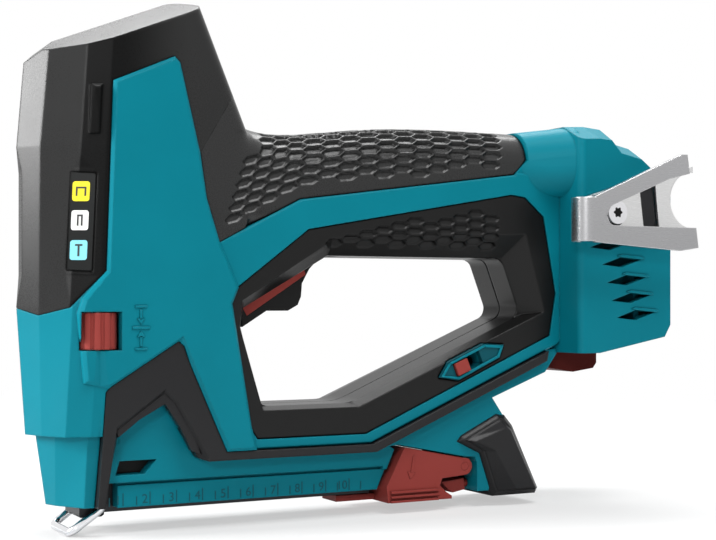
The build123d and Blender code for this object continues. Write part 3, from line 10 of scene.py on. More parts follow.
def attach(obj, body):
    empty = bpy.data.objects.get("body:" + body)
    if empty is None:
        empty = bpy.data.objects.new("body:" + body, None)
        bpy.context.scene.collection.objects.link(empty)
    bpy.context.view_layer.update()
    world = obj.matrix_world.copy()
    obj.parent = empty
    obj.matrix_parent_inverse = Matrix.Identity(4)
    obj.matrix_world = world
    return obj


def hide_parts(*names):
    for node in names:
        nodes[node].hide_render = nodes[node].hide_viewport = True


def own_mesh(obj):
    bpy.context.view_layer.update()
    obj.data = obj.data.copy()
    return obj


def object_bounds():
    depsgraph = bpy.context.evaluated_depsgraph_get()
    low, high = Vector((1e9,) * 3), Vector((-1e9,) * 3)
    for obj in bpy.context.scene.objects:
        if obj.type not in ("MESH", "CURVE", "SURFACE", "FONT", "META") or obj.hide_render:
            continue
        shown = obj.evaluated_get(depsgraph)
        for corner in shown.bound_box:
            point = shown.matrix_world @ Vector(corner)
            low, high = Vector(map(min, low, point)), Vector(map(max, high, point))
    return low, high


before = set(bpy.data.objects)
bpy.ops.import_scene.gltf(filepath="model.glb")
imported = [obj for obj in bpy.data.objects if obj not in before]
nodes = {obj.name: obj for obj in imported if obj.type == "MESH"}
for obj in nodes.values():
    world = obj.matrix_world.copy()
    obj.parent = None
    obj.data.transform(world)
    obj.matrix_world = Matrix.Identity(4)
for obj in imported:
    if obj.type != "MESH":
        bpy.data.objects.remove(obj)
cad_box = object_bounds()
scene = bpy.context.scene
MM = 0.001

# Zones of the head cover, in metres: strips across the seam to the grip, and the recess beside the label,
# which is given painted shade.
SEAM_ACROSS = (-0.850, 0, 0.526)
SEAM_STRIP = (0.0385, 0.0400)
RECESS_ACROSS = (1, 0, -0.0685)
RECESS_EDGE = (-0.0159, -0.0152)
RECESS_FADE = (0.006, 0.034)
ROOF_TILT = (0.15, 0.40)

# Painted shade in hollows: how far they are felt, the covered shares where it begins and, in the pressed
# cells, is full, how much of the shine it takes away, and how much of the colour the painted shade keeps.
HOLLOW_REACH = 0.0012
HOLLOW_START = 0.12
CELL_PIT = 0.28
HOLLOW_SHADE = 0.8
RECESS_SHADE = 0.75
SHADE_TONE = 0.25


class Value:
    """A socket of a finish that can be used in sums; each sum adds its Math node."""

    def __init__(self, finish, socket):
        self.finish = finish
        self.socket = socket

    def math(self, operation, first, second=0.0):
        return self.finish.node("Math", {"operation": operation}, {0: first, 1: second})

    def __add__(self, other):
        return self.math("ADD", self, other)

    def __radd__(self, other):
        return self.math("ADD", other, self)

    def __sub__(self, other):
        return self.math("SUBTRACT", self, other)

    def __rsub__(self, other):
        return self.math("SUBTRACT", other, self)

    def __mul__(self, other):
        return self.math("MULTIPLY", self, other)

    def most(self, other):
        return self.math("MAXIMUM", self, other)

    def over(self, low, high):
        """0 at low, 1 at high, held between."""
        settings = {"interpolation_type": "SMOOTHSTEP"}
        sockets = {0: self, 1: low, 2: high}
        return self.finish.node("MapRange", settings, sockets)


class Finish:
    """The nodes of one material or of the world, every one made by the method node()."""

    def __init__(self, name, kind=bpy.data.materials):
        self.material = kind.new(name)
        self.material.use_nodes = True
        self.tree = self.material.node_tree
        self.tree.nodes.clear()

    def node(self, kind, settings=None, sockets=None, output=0):
        made = self.tree.nodes.new("ShaderNode" + kind)
        for name, value in (settings or {}).items():
            setattr(made, name, value)
        for name, value in (sockets or {}).items():
            if isinstance(value, Value):
                self.tree.links.new(value.socket, made.inputs[name])
            else:
                made.inputs[name].default_value = value
        return Value(self, made.outputs[output]) if len(made.outputs) else None

    def spot(self):
        """The point on the piece, in metres."""
        return self.node("TexCoord", output="Object")

    def facing(self):
        return self.node("NewGeometry", output="Normal")

    def axis(self, vector, name):
        return self.node("SeparateXYZ", None, {0: vector}, output=name)

    def dot(self, first, second):
        return self.node("VectorMath", {"operation": "DOT_PRODUCT"}, {0: first, 1: second}, output="Value")

    def place(self, stretch=(1, 1, 1)):
        """The point on the piece, stretched for grain that runs one way."""
        return self.node("Mapping", None, {"Vector": self.spot(), "Scale": stretch})

    def noise(self, size, detail=2.0, rough=0.5, spot=None):
        """Noise whose blotches are about size metres across."""
        sockets = {"Vector": spot or self.place(), "Scale": 1 / size, "Detail": detail, "Roughness": rough}
        return self.node("TexNoise", None, sockets)

    def speckle(self, size):
        sockets = {"Vector": self.place(), "Scale": 1 / size}
        return self.node("TexVoronoi", {"feature": "F1"}, sockets)

    def blend(self, share, first, second):
        """A colour between two, by share."""
        settings = {"data_type": "RGBA"}
        return self.node("Mix", settings, {0: share, 6: first, 7: second}, output=2)

    def edges(self, radius):
        """Normal with softened corners, and how much of a corner each point is."""
        soft = self.node("Bevel", {"samples": 4}, {"Radius": radius})
        return soft, (1 - self.dot(soft, self.facing())).over(0.02, 0.25)

    def near_seam(self):
        """1 beside the slanting seam between the head cover and the grip, where the edge stays tight."""
        return 1 - self.dot(self.spot(), SEAM_ACROSS).over(*SEAM_STRIP)

    def head_recess(self):
        """Painted shade on the sunk side of the head beside the label: 1 there, fading out to the rear and on
        the roof.
        """
        spot = self.spot()
        inside = self.dot(spot, RECESS_ACROSS).over(*RECESS_EDGE)
        rear = self.axis(spot, "X").over(*RECESS_FADE)
        roof = self.axis(self.facing(), "Z").over(*ROOF_TILT)
        return inside * (1 - rear) * (1 - roof)

    def hollow(self, reach, full):
        """Share of painted shade in hollows, by how deep each point lies: 0 in the open, 1 where the share
        full is covered.
        """
        sky = self.node("AmbientOcclusion", {"samples": 4}, {"Distance": reach}, output="AO")
        return (1 - sky).over(HOLLOW_START, full)

    def shade(self, colour, rough, metal=0.0, height=None, depth=0.0, normal=None, shade_share=None, shade_colour=None,
              **constants):
        """Closes the finish: height is the bump's relief and depth its size in metres.
        The share of painted shade shows the colour darkened, without shine."""
        sockets = {"Base Color": colour, "Roughness": rough, "Metallic": metal}
        sockets.update(constants)
        if height is not None:
            bump = {"Height": height, "Distance": depth}
            if normal is not None:
                bump["Normal"] = normal
            sockets["Normal"] = self.node("Bump", None, bump)
        elif normal is not None:
            sockets["Normal"] = normal
        surface = self.node("BsdfPrincipled", None, sockets)
        if shade_share is not None:
            # Painted shade: the colour darkened and matt, without shine.
            shade_sockets = {"Base Color": shade_colour, "Roughness": 1.0, "Specular IOR Level": 0.0}
            matt = self.node("BsdfPrincipled", None, shade_sockets)
            surface = self.node("MixShader", None, {0: shade_share, 1: surface, 2: matt})
        self.node("OutputMaterial", None, {"Surface": surface})
        return self.material


SATIN = {"Specular IOR Level": 0.20}
SHEEN = {"Specular IOR Level": 0.08}
MATT = {"Specular IOR Level": 0.14}
GLOSS = {"Specular IOR Level": 0.26}
GRIP_GLOSS = {"Specular IOR Level": 0.36}
DULL = {"Specular IOR Level": 0.02}


def tint(colour, share=1.0):
    return tuple(c * share for c in colour) + (1.0,)


def moulded(name, colour, rough, grain=0.00035, depth=0.00002, corner=0.0004, wear=0.25, worn_and_highlight_colour=None,
            pit=0.70, head=False, **constants):
    """Spark-textured moulded plastic: fine grain, cloudy gloss, corners a little paler, partly rubbed and
    partly a painted highlight along the edges.
    head is for the cover of the head, with its tight seam and the painted shade of its sunk recess."""
    finish = Finish(name)
    soft, corner_share = finish.edges(corner)
    if head:
        normals = {0: finish.near_seam(), 4: soft, 5: finish.facing()}
        soft = finish.node("Mix", {"data_type": "VECTOR"}, normals, output=1)
    cloud = finish.noise(0.030, 3.0)
    fine = finish.noise(grain, 2.0, 0.6)
    pits = finish.speckle(grain * 1.7)
    body = finish.blend(cloud, tint(colour, 0.90), tint(colour, 1.10))
    rubbed = finish.noise(0.0025, 2.0).over(0.35, 0.75)
    worn_and_highlight_colour = worn_and_highlight_colour or [0.5 * c + 0.08 for c in colour]
    # Paler corners: partly rubbed, partly a painted highlight along the edges, most on the teal.
    body = finish.blend(corner_share * rubbed * wear, body, tint(worn_and_highlight_colour))
    gloss = rough + (cloud - 0.5) * 0.10 + (fine - 0.5) * 0.10
    grain_height = fine * 0.7 + pits * 0.3
    # Painted shade in hollows and pressed cells.
    shade_share = finish.hollow(HOLLOW_REACH, pit) * HOLLOW_SHADE
    # On the head, painted shade also fills the recess beside the label.
    if head:
        shade_share = shade_share.most(finish.head_recess() * RECESS_SHADE)
    return finish.shade(body, gloss, height=grain_height, depth=depth, normal=soft, shade_share=shade_share,
                        shade_colour=tint(colour, SHADE_TONE), **constants)


def rubber(name, colour, rough):
    """Soft overmould: matt, with painted shade in its hollows and a leathery fine grain."""
    finish = Finish(name)
    soft, corner_share = finish.edges(0.0005)
    cloud = finish.noise(0.018, 4.0)
    fine = finish.noise(0.0005, 3.0, 0.65)
    body = finish.blend(cloud, tint(colour, 0.85), tint(colour, 1.2))
    body = finish.blend(corner_share * 0.3, body, tint([c + 0.05 for c in colour]))
    gloss = rough + (fine - 0.5) * 0.14 + (cloud - 0.5) * 0.08
    # Painted shade in hollows and pressed cells.
    shade_share = finish.hollow(HOLLOW_REACH, CELL_PIT) * HOLLOW_SHADE
    return finish.shade(body, gloss, height=fine, depth=0.000035, normal=soft, shade_share=shade_share,
                        shade_colour=tint(colour, SHADE_TONE), **SATIN)


def brushed(name, colour, rough, stretch):
    """Metal with a ground grain along one axis and fine scuffs."""
    finish = Finish(name)
    soft, corner_share = finish.edges(0.0004)
    hair = finish.noise(0.0012, 3.0, 0.7, finish.place(stretch))
    cloud = finish.noise(0.02, 3.0)
    body = finish.blend(hair, tint(colour, 0.88), tint(colour, 1.12))
    body = finish.blend(corner_share * 0.3, body, tint([min(1, c * 1.15) for c in colour]))
    gloss = rough + (hair - 0.5) * 0.16 + (cloud - 0.5) * 0.08
    return finish.shade(body, gloss, metal=1.0, height=hair, depth=0.000006, normal=soft)


def hook_finish(name, outer, inner):
    """Satin sheet steel, finely ground along its length; the plate on the housing is painted brighter than
    the prongs as painted light, and the edges near white as a painted highlight.
    """
    finish = Finish(name)
    soft, corner_share = finish.edges(0.0006)
    hair = finish.noise(0.0012, 3.0, 0.7, finish.place((0.15, 1, 5)))
    # Painted light: the plate on the housing brighter than the prong plate of the same steel.
    plate = finish.axis(finish.spot(), "Y").over(-0.0435, -0.0375)
    body = finish.blend(plate, tint(outer), tint(inner))
    body = finish.blend(hair * 0.12, body, tint(outer, 0.75))
    # Painted highlight: the edges near white.
    body = finish.blend(corner_share * 0.7, body, (0.95, 0.95, 0.95, 1))
    gloss = 0.28 + (hair - 0.5) * 0.08
    return finish.shade(body, gloss, metal=1.0, height=hair, depth=0.000002, normal=soft)


def plated(name, colour, rough):
    """Bright plating with faint waviness and handling marks."""
    finish = Finish(name)
    cloud = finish.noise(0.006, 3.0)
    fine = finish.noise(0.0008, 2.0)
    body = finish.blend(cloud, tint(colour, 0.94), tint(colour, 1.04))
    gloss = rough + (fine - 0.5) * 0.08 + (cloud - 0.5) * 0.06
    return finish.shade(body, gloss, metal=1.0, height=cloud, depth=0.00001)


def printed(name, colour, rough=0.35, **constants):
    """Ink with a little unevenness."""
    finish = Finish(name)
    fine = finish.noise(0.0004, 2.0)
    body = finish.blend(fine, tint(colour, 0.92), tint(colour, 1.05))
    return finish.shade(body, rough + (fine - 0.5) * 0.1, height=fine, depth=0.000004, **constants)


def circuit(name):
    """Green lacquered board with faint copper runs."""
    finish = Finish(name)
    runs = finish.node("TexBrick", {"offset": 0.35}, {"Vector": finish.place(), "Scale": 160.0}, output="Fac")
    fine = finish.noise(0.0006, 2.0)
    body = finish.blend(runs, (0.012, 0.10, 0.035, 1), (0.03, 0.19, 0.07, 1))
    return finish.shade(body, 0.35 + (fine - 0.5) * 0.1, height=runs * 0.5 + fine * 0.5, depth=0.00003)


TEAL = (0.0015, 0.170, 0.224)
RED = (0.27, 0.045, 0.038)

# The teal's pale corners are mostly a painted highlight along its edges, with a little rubbing.
teal_housing = moulded("teal_housing", TEAL, 0.40, corner=0.0008, wear=0.6, worn_and_highlight_colour=(0.03, 0.30, 0.38), **SHEEN)
# The switch frame's teal, darkened as painted shade inside its recess.
teal_in_painted_shade = moulded("teal_in_painted_shade", [c * 0.40 for c in TEAL], 0.45, **MATT)
# Marks in a darker teal: painted shade in place of the shading of their relief.
teal_marks_painted_shade = moulded("teal_marks_painted_shade", [c * 0.45 for c in TEAL], 0.45, corner=0.0001, **SATIN)
BLACK = {"colour": (0.013, 0.0132, 0.0132), "rough": 0.28, "grain": 0.0004, "depth": 0.000014, "wear": 0.0}
black_skin = moulded("black_skin", corner=0.00005, pit=CELL_PIT, **BLACK, **GRIP_GLOSS)
black_cover = moulded("black_cover", corner=0.0012, head=True, **BLACK, **GLOSS)
black_trim = moulded("black_trim", (0.012, 0.012, 0.013), 0.32, corner=0.0010, **SATIN)
liner_rubber = rubber("liner_rubber", (0.005, 0.005, 0.005), 0.36)
red_plastic = moulded("red_plastic", RED, 0.42, worn_and_highlight_colour=(0.40, 0.12, 0.10), **SHEEN)
# The bumper's red painted dark, as the shade beneath the rear block.
bumper_red_painted_shade = moulded("bumper_red_painted_shade", [c * 0.25 for c in RED], 0.50, wear=0.0, **DULL)
dark_plastic_and_shade = moulded("dark_plastic_and_shade", (0.006, 0.006, 0.006), 0.50, **MATT)
label_film = printed("label_film", (0.010, 0.011, 0.011), 0.32, **MATT)
# Two tones of one steel, as painted light on the hook's plates.
hook_steel = hook_finish("hook_steel", (0.42, 0.42, 0.43), (0.74, 0.74, 0.74))
screw_plating = plated("screw_plating", (0.78, 0.78, 0.80), 0.22)
bail_chrome = plated("bail_chrome", (0.80, 0.80, 0.82), 0.14)
blackened_steel_and_shade = brushed("blackened_steel_and_shade", (0.035, 0.035, 0.037), 0.42, (4, 1, 0.3))
bright_steel = brushed("bright_steel", (0.52, 0.52, 0.54), 0.34, (0.2, 4, 4))
spring_wire = plated("spring_wire", (0.42, 0.42, 0.45), 0.26)
contact_brass = plated("contact_brass", (0.72, 0.52, 0.22), 0.25)
board_lacquer = circuit("board_lacquer")

FINISHES = {
    teal_housing: "left_housing right_housing",
    teal_in_painted_shade: "switch_frame",
    black_cover: "head_cover",
    black_skin: "left_grip right_grip",
    black_trim: "left_trim right_trim rear_foot battery_shoe",
    liner_rubber: "left_liner right_liner",
    red_plastic: "depth_wheel trigger_inlay lock_slider magazine_lever magazine_latch lever_pin",
    bumper_red_painted_shade: "bumper",
    dark_plastic_and_shade: "trigger trigger_switch stop_pad",
    label_film: "label_plate",
    hook_steel: "belt_hook",
    bail_chrome: "contact_bail",
    screw_plating: "hook_screw",
    blackened_steel_and_shade: "nose_block housing_screws lifter lifter_shaft magazine_channel",
    spring_wire: "drive_spring bail_springs pusher_spring latch_springs trigger_spring",
    contact_brass: "contact_blades hook_inserts motor_pinion",
    board_lacquer: "control_board",
}
dressed = {}
for finish_material, names in FINISHES.items():
    for name in names.split():
        dressed[name] = finish_material
for name, node in nodes.items():
    material = dressed.get(name, bright_steel)
    if not node.material_slots:
        node.data.materials.append(material)
    for socket in node.material_slots:
        socket.material = material


def piece_from(name, points, faces, material, body):
    """A new mesh piece, riding on a body."""
    mesh = bpy.data.meshes.new(name)
    mesh.from_pydata([tuple(p) for p in points], [], faces)
    work = bmesh.new()
    work.from_mesh(mesh)
    bmesh.ops.remove_doubles(work, verts=work.verts, dist=1e-7)
    bmesh.ops.recalc_face_normals(work, faces=work.faces)
    work.to_mesh(mesh)
    work.free()
    mesh.materials.append(material)
    piece = bpy.data.objects.new(name, mesh)
    scene.collection.objects.link(piece)
    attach(piece, body)


# Grip cells: stretched hexagonal dimples pressed into the soft skins.
# Places are x, or x and z, in millimetres.
GRIP_TOP = ((44, 153.4), (52, 144.6), (60, 140.4), (68, 139.2), (76, 139.2), (84, 140.0), (92, 141.2),
            (100, 142.1), (116, 143.5), (132, 144.3), (148, 144.8), (164, 144.9), (196, 145.0))
HEAD_X, HEAD_TOP = 48, 132.0
CREST_X, CREST_TOP = 74, 139
GRIP_FLAT = 5.5
GRIP_ROUND = 13.0
GRIP_SIDE = GRIP_FLAT + GRIP_ROUND * pi / 2
GRIP_LOW_EDGE = ((45.5, 102.6), (62, 110.4), (78, 118.3), (88, 120.9), (111, 122.2), (137, 125.6),
                 (172, 130.7))
GRIP_FRONT_EDGE = ((45.5, 104), (57.1, 136), (62, 150))
GRIP_END = 173.0
UPRIGHT_X = 59
LEAN_BACK, LEAN_MORE = 0.20, 0.17
LEAN_FROM_X, LEAN_OVER = 105, 45
FRONT_COLUMNS_X = 75.0
FRONT_COLUMNS_SHARE = 0.80
COLUMN_START = 1.5
CREST_CELLS_X = 61.5
CREST_HEIGHT = 9.5
END_MARGIN, LOW_MARGIN, FRONT_MARGIN = 4, 1.0, 2.0
BLEND_X = (49, 67)
BLEND_BELOW, BLEND_TOP = 2, 138
BLEND_PASSES = 150
LINER_LOW = 96.0
LINER_TOP_EDGE = ((86, 101.5), (110, 107.0), (132, 110.0), (168, 114.5))
LINER_RUN = (90, 165)
LINER_LOW_MARGIN, LINER_TOP_MARGIN = 1.2, 1.5
SEAM_X = 52
SEAM_FILL = 0.18
SKIN_VOXEL = 0.42


def along(stations, at):
    """Straight-line value between stations, held past the ends."""
    if at <= stations[0][0]:
        return stations[0][1]
    for (x0, v0), (x1, v1) in zip(stations, stations[1:]):
        if at <= x1:
            return v0 + (v1 - v0) * (at - x0) / (x1 - x0)
    return stations[-1][1]


def grip_middle(x):
    """Height where the grip's rounded top meets its upright sides."""
    if x > CREST_X:
        top = along(GRIP_TOP, x)
    else:
        top = HEAD_TOP + (CREST_TOP - HEAD_TOP) * (x - HEAD_X) / (CREST_X - HEAD_X)
    return top - GRIP_ROUND


def grip_lean(x):
    """How far the columns of cells run back for each step up."""
    return LEAN_BACK + LEAN_MORE * max(0.0, min(1.0, (LEAN_FROM_X - x) / LEAN_OVER))


def grip_map(x, y, z, sideways):
    """Place on the grip's skin: run along it, and way round it from the top line."""
    middle = grip_middle(x)
    if z < middle or sideways or x < UPRIGHT_X:
        round_way = GRIP_SIDE + middle - z
    elif abs(y) < GRIP_FLAT:
        round_way = abs(y)
    else:
        round_way = GRIP_FLAT + GRIP_ROUND * atan2(abs(y) - GRIP_FLAT, z - middle)
    run = x + grip_lean(x) * (round_way - GRIP_SIDE)
    if run < FRONT_COLUMNS_X:
        run = FRONT_COLUMNS_X - (FRONT_COLUMNS_X - run) / FRONT_COLUMNS_SHARE
    return run - COLUMN_START, round_way


def grip_allowed(run, round_way):
    """Whether a cell of the grip may stand at that place."""
    run += COLUMN_START
    if run < FRONT_COLUMNS_X:
        run = FRONT_COLUMNS_X - (FRONT_COLUMNS_X - run) * FRONT_COLUMNS_SHARE
    x = run
    for repeat in range(4):
        x = run - grip_lean(x) * (round_way - GRIP_SIDE)
    z = grip_middle(x) + GRIP_SIDE - round_way
    by_the_head = x < CREST_CELLS_X and round_way < GRIP_SIDE - CREST_HEIGHT
    if by_the_head or x > GRIP_END - END_MARGIN:
        return False
    front = along([(b, a) for a, b in GRIP_FRONT_EDGE], z)
    return z > along(GRIP_LOW_EDGE, x) + LOW_MARGIN and x > front + FRONT_MARGIN


def grip_blend(x, z):
    """The zone where the grip leaves the head, which is smoothed."""
    return BLEND_X[0] < x < BLEND_X[1] and along(GRIP_LOW_EDGE, x) - BLEND_BELOW < z < BLEND_TOP


def no_blend(x, z):
    return False


def liner_map(x, y, z, sideways):
    return x, -z


def liner_allowed(run, round_way):
    z = -round_way
    top = along(LINER_TOP_EDGE, run) - LINER_TOP_MARGIN
    return LINER_RUN[0] < run < LINER_RUN[1] and LINER_LOW + LINER_LOW_MARGIN < z < top


def cell_depth(run, round_way, allowed, column, pitch, tip, ridge, wall, slant):
    """0 on the ridges and outside the field, about 1 on a cell's floor, more at its upper wall by slant."""
    flat = column - tip
    half = pitch / 2
    slope = hypot(half, tip - flat)
    best, home = -1.0, None
    for step in (0, 1):
        number = floor(run / column) + step
        shift = half if number % 2 else 0.0
        row = round((round_way - shift) / pitch)
        across = abs(run - number * column)
        up = abs(round_way - shift - row * pitch)
        inside = min(half - up, (half * (tip - across) - (tip - flat) * up) / slope)
        if inside > best:
            best, home = inside, (number * column, row * pitch + shift)
    if home is None or not allowed(*home):
        return 0.0
    share = max(0.0, min(1.0, (best - ridge) / wall))
    fall = (round_way - home[1]) / pitch
    return share * share * (3 - 2 * share) * (1.0 - slant * fall)


def pressed_skin(node, name, mapping, allowed, blend, depth, cells, material):
    """A copy of a CAD skin, remeshed finely, laid back on the CAD faces and pressed with cells.
    A blended skin also grows a little at its front edge, to close the seam to the head cover."""
    source = nodes[node]
    corners = [v.co.copy() for v in source.data.vertices]
    tree = BVHTree.FromPolygons(corners, [tuple(p.vertices) for p in source.data.polygons])
    rough_copy = bpy.data.objects.new(name + "_copy", source.data.copy())
    scene.collection.objects.link(rough_copy)
    remesh = rough_copy.modifiers.new("skin", "REMESH")
    remesh.mode = "VOXEL"
    remesh.voxel_size = SKIN_VOXEL * MM
    ready = rough_copy.evaluated_get(bpy.context.evaluated_depsgraph_get())
    mesh = bpy.data.meshes.new_from_object(ready)
    bpy.data.objects.remove(rough_copy)
    mesh.name = name
    work = bmesh.new()
    work.from_mesh(mesh)
    blended = []
    for vertex in work.verts:
        vertex.co, normal = tree.find_nearest(vertex.co)[:2]
        x, y, z = vertex.co / MM
        if blend(x, z) and normal.y * y > -0.1 * abs(y):
            blended.append(vertex)
    for repeat in range(BLEND_PASSES if blended else 0):
        bmesh.ops.smooth_vert(work, verts=blended, factor=0.5, use_axis_x=True, use_axis_y=True,
                              use_axis_z=True)
    work.normal_update()
    pressed = []
    for vertex in work.verts:
        x, y, z = vertex.co / MM
        outward = vertex.normal.y * (1 if y > 0 else -1)
        if blended and x < SEAM_X and -0.3 < outward < 0.8 and vertex.normal.x < 0:
            away = Vector((-vertex.normal.x, 0, -vertex.normal.z)).normalized()
            pressed.append((vertex, away * SEAM_FILL * MM))
        elif outward > -0.2 and (outward > 0.35 or vertex.normal.z > 0.35):
            run, round_way = mapping(x, y, z, outward > 0.90)
            share = cell_depth(run, round_way, allowed, **cells)
            pressed.append((vertex, vertex.normal * depth * share * MM))
    for vertex, move in pressed:
        vertex.co -= move
    work.to_mesh(mesh)
    work.free()
    mesh.materials.clear()
    mesh.materials.append(material)
    for face in mesh.polygons:
        face.use_smooth = True
    piece = bpy.data.objects.new(name, mesh)
    scene.collection.objects.link(piece)
    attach(piece, "housing")
    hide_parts(node)


SIDES = (("left", -1), ("right", 1))
GRIP_DEPTH = 0.95
LINER_DEPTH = 0.75
grip_cells = {"column": 8.0, "pitch": 3.9, "tip": 5.3, "ridge": 0.24, "wall": 0.42, "slant": 0.95}
liner_cells = {"column": 7.0, "pitch": 3.7, "tip": 4.6, "ridge": 0.22, "wall": 0.50, "slant": 1.4}
for side_name, _ in SIDES:
    pressed_skin(side_name + "_grip", side_name + "_grip_skin", grip_map, grip_allowed, grip_blend,
                 GRIP_DEPTH, grip_cells, black_skin)
    pressed_skin(side_name + "_liner", side_name + "_liner_skin", liner_map, liner_allowed, no_blend,
                 LINER_DEPTH, liner_cells, liner_rubber)


# Springs: copies of their coils, riding on the housing in place of the originals.
# Each has its joint, its axis, the end that stands still in millimetres and the share of its length at the
# joint's limit.
SPRINGS = (
    ("bail_springs", "bail_slide", (0, 0, 1), (3.0, 0, 26.0), 0.42),
    ("latch_springs", "latch_slide", (1, 0, 0), (160.4, 0, 2.9), 0.32),
    ("drive_spring", "plunger_slide", (0, 0, 1), (0, 0, 141.98), 0.53),
    ("trigger_spring", "trigger_pull", (0, 0, 1), (66.0, 0, 98.0), 0.66),
    ("pusher_spring", "pusher_slide", (1, 0, 0), (107.99, 0, 8.3), 0.245),
)
for node, joint, axis, still_end, keep in SPRINGS:
    coils = bpy.data.objects.new(node + "_coils", nodes[node].data.copy())
    scene.collection.objects.link(coils)
    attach(coils, "housing")
    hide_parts(node)
    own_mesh(coils)


# Printed and moulded marks, laid on the surfaces that carry them.
def stand_on(origin, across, up):
    """A frame on a face: across and up in it, and the way out of it."""
    across = Vector(across).normalized()
    up = Vector(up).normalized()
    out = across.cross(up)
    turn = Matrix((across, up, out)).transposed().to_4x4()
    return Matrix.Translation(Vector(origin) * MM) @ turn


def relief(name, outlines, place, low, high, material, body, tops=None):
    """Flat outlines in millimetres raised from a face, all in one piece.
    tops are the outlines at the upper end, where they differ."""
    points, faces = [], []
    for outline, top in zip(outlines, tops or outlines):
        first, count = len(points), len(outline)
        for level, corners in ((low, outline), (high, top)):
            points += [place @ Vector((u * MM, v * MM, level * MM)) for u, v in corners]
        faces.append(tuple(range(first + count, first + 2 * count)))
        faces.append(tuple(reversed(range(first, first + count))))
        for k in range(count):
            after = (k + 1) % count
            faces.append((first + k, first + after, first + count + after, first + count + k))
    piece_from(name, points, faces, material, body)


def bar(u, v, width, height):
    return [(u, v), (u + width, v), (u + width, v + height), (u, v + height)]


def rounded(u, v, width, height, radius, steps=5):
    """A rectangle from its low left corner, with round corners."""
    outline = []
    for corner, (side, rise) in enumerate(((1, 0), (1, 1), (0, 1), (0, 0))):
        middle_u = u + (width - radius if side else radius)
        middle_v = v + (height - radius if rise else radius)
        for k in range(steps + 1):
            turn = pi / 2 * (corner - 1 + k / steps)
            outline.append((middle_u + radius * cos(turn), middle_v + radius * sin(turn)))
    return outline


def staple(u, v, width, leg, wire):
    """Outline of a staple standing on its points."""
    return [(u, v), (u + wire, v), (u + wire, v + leg - wire), (u + width - wire, v + leg - wire),
            (u + width - wire, v), (u + width, v), (u + width, v + leg), (u, v + leg)]


def digits(number, size):
    """A plain number as a flat mesh in millimetres, its right foot at the origin."""
    curve = bpy.data.curves.new("digits", "FONT")
    curve.body = str(number)
    curve.size = size
    curve.align_x = "RIGHT"
    curve.extrude = DIGIT_RISE
    holder = bpy.data.objects.new("digits", curve)
    scene.collection.objects.link(holder)
    ready = holder.evaluated_get(bpy.context.evaluated_depsgraph_get())
    mesh = bpy.data.meshes.new_from_object(ready)
    points = [v.co.copy() for v in mesh.vertices]
    faces = [tuple(p.vertices) for p in mesh.polygons]
    bpy.data.objects.remove(holder)
    return points, faces


SCALE_FACE = 13.0
SCALE_FOOT = 4.0
SCALE_LENGTH = 11
HALF_UNIT = 5.0
TICK_WIDTH = 0.4
LONG_TICK, SHORT_TICK = 4.4, 3.1
DIGIT_SIZE = 4.6
DIGIT_RISE = 0.075
DIGIT_AT = Vector((-0.75, 0.5, 0.0))


def staple_scale(side, across, out_name):
    """Centimetre ticks and plain numbers along the magazine's side."""
    place = stand_on((0, side * SCALE_FACE, SCALE_FOOT), (across, 0, 0), (0, 0, 1))
    ticks, points, faces = [], [], []
    for half_step in range(1, 2 * SCALE_LENGTH):
        run = across * HALF_UNIT * half_step
        ticks.append(bar(run - TICK_WIDTH / 2, 0, TICK_WIDTH, SHORT_TICK if half_step % 2 else LONG_TICK))
        if half_step % 2 == 0:
            first = len(points)
            corners, sheets = digits(half_step // 2, DIGIT_SIZE)
            foot = DIGIT_AT + Vector((run, 0, 0))
            points += [place @ ((c + foot) * MM) for c in corners]
            faces += [tuple(first + k for k in sheet) for sheet in sheets]
    # Ticks and numbers in the darker teal of painted shade.
    relief(out_name + "_ticks", ticks, place, -0.1, 0.08, teal_marks_painted_shade, "housing")
    piece_from(out_name + "_numbers", points, faces, teal_marks_painted_shade, "housing")


staple_scale(-1, 1, "left_scale")
staple_scale(1, -1, "right_scale")

LABEL_AT = (-6.57, -17.98, 103.7)
LABEL_LEAN = radians(25)
LABEL_RISE = (1.53, -0.44, 37.3)
TILE_LEFT = -3.55
TILE_WIDTH, TILE_HEIGHT, TILE_ROUND = 5.9, 6.85, 0.9
NAIL = [(2.6, 1.3), (3.3, 1.3), (3.3, 4.9), (4.2, 4.9), (4.2, 5.5), (1.7, 5.5), (1.7, 4.9), (2.6, 4.9)]
TILES = (
    ("yellow", (0.85, 0.72, 0.005), 7.0, staple(1.15, 1.8, 3.6, 3.2, 0.62)),
    ("white", (0.85, 0.85, 0.83), -3.0, staple(1.95, 1.5, 2.0, 3.9, 0.62)),
    ("cyan", (0.22, 0.66, 0.76), -13.3, NAIL),
)
label_face = stand_on(LABEL_AT, (cos(LABEL_LEAN), -sin(LABEL_LEAN), 0), LABEL_RISE)
sign_ink = printed("sign_ink", (0.012, 0.012, 0.013))
for tile_name, colour, foot, sign in TILES:
    ink = printed(tile_name + "_ink", colour)
    tile = rounded(TILE_LEFT, foot, TILE_WIDTH, TILE_HEIGHT, TILE_ROUND)
    relief(tile_name + "_tile", [tile], label_face, -0.25, -0.12, ink, "housing")
    signs = [[(u + TILE_LEFT, v + foot) for u, v in sign]]
    relief(tile_name + "_sign", signs, label_face, -0.15, -0.08, sign_ink, "housing")

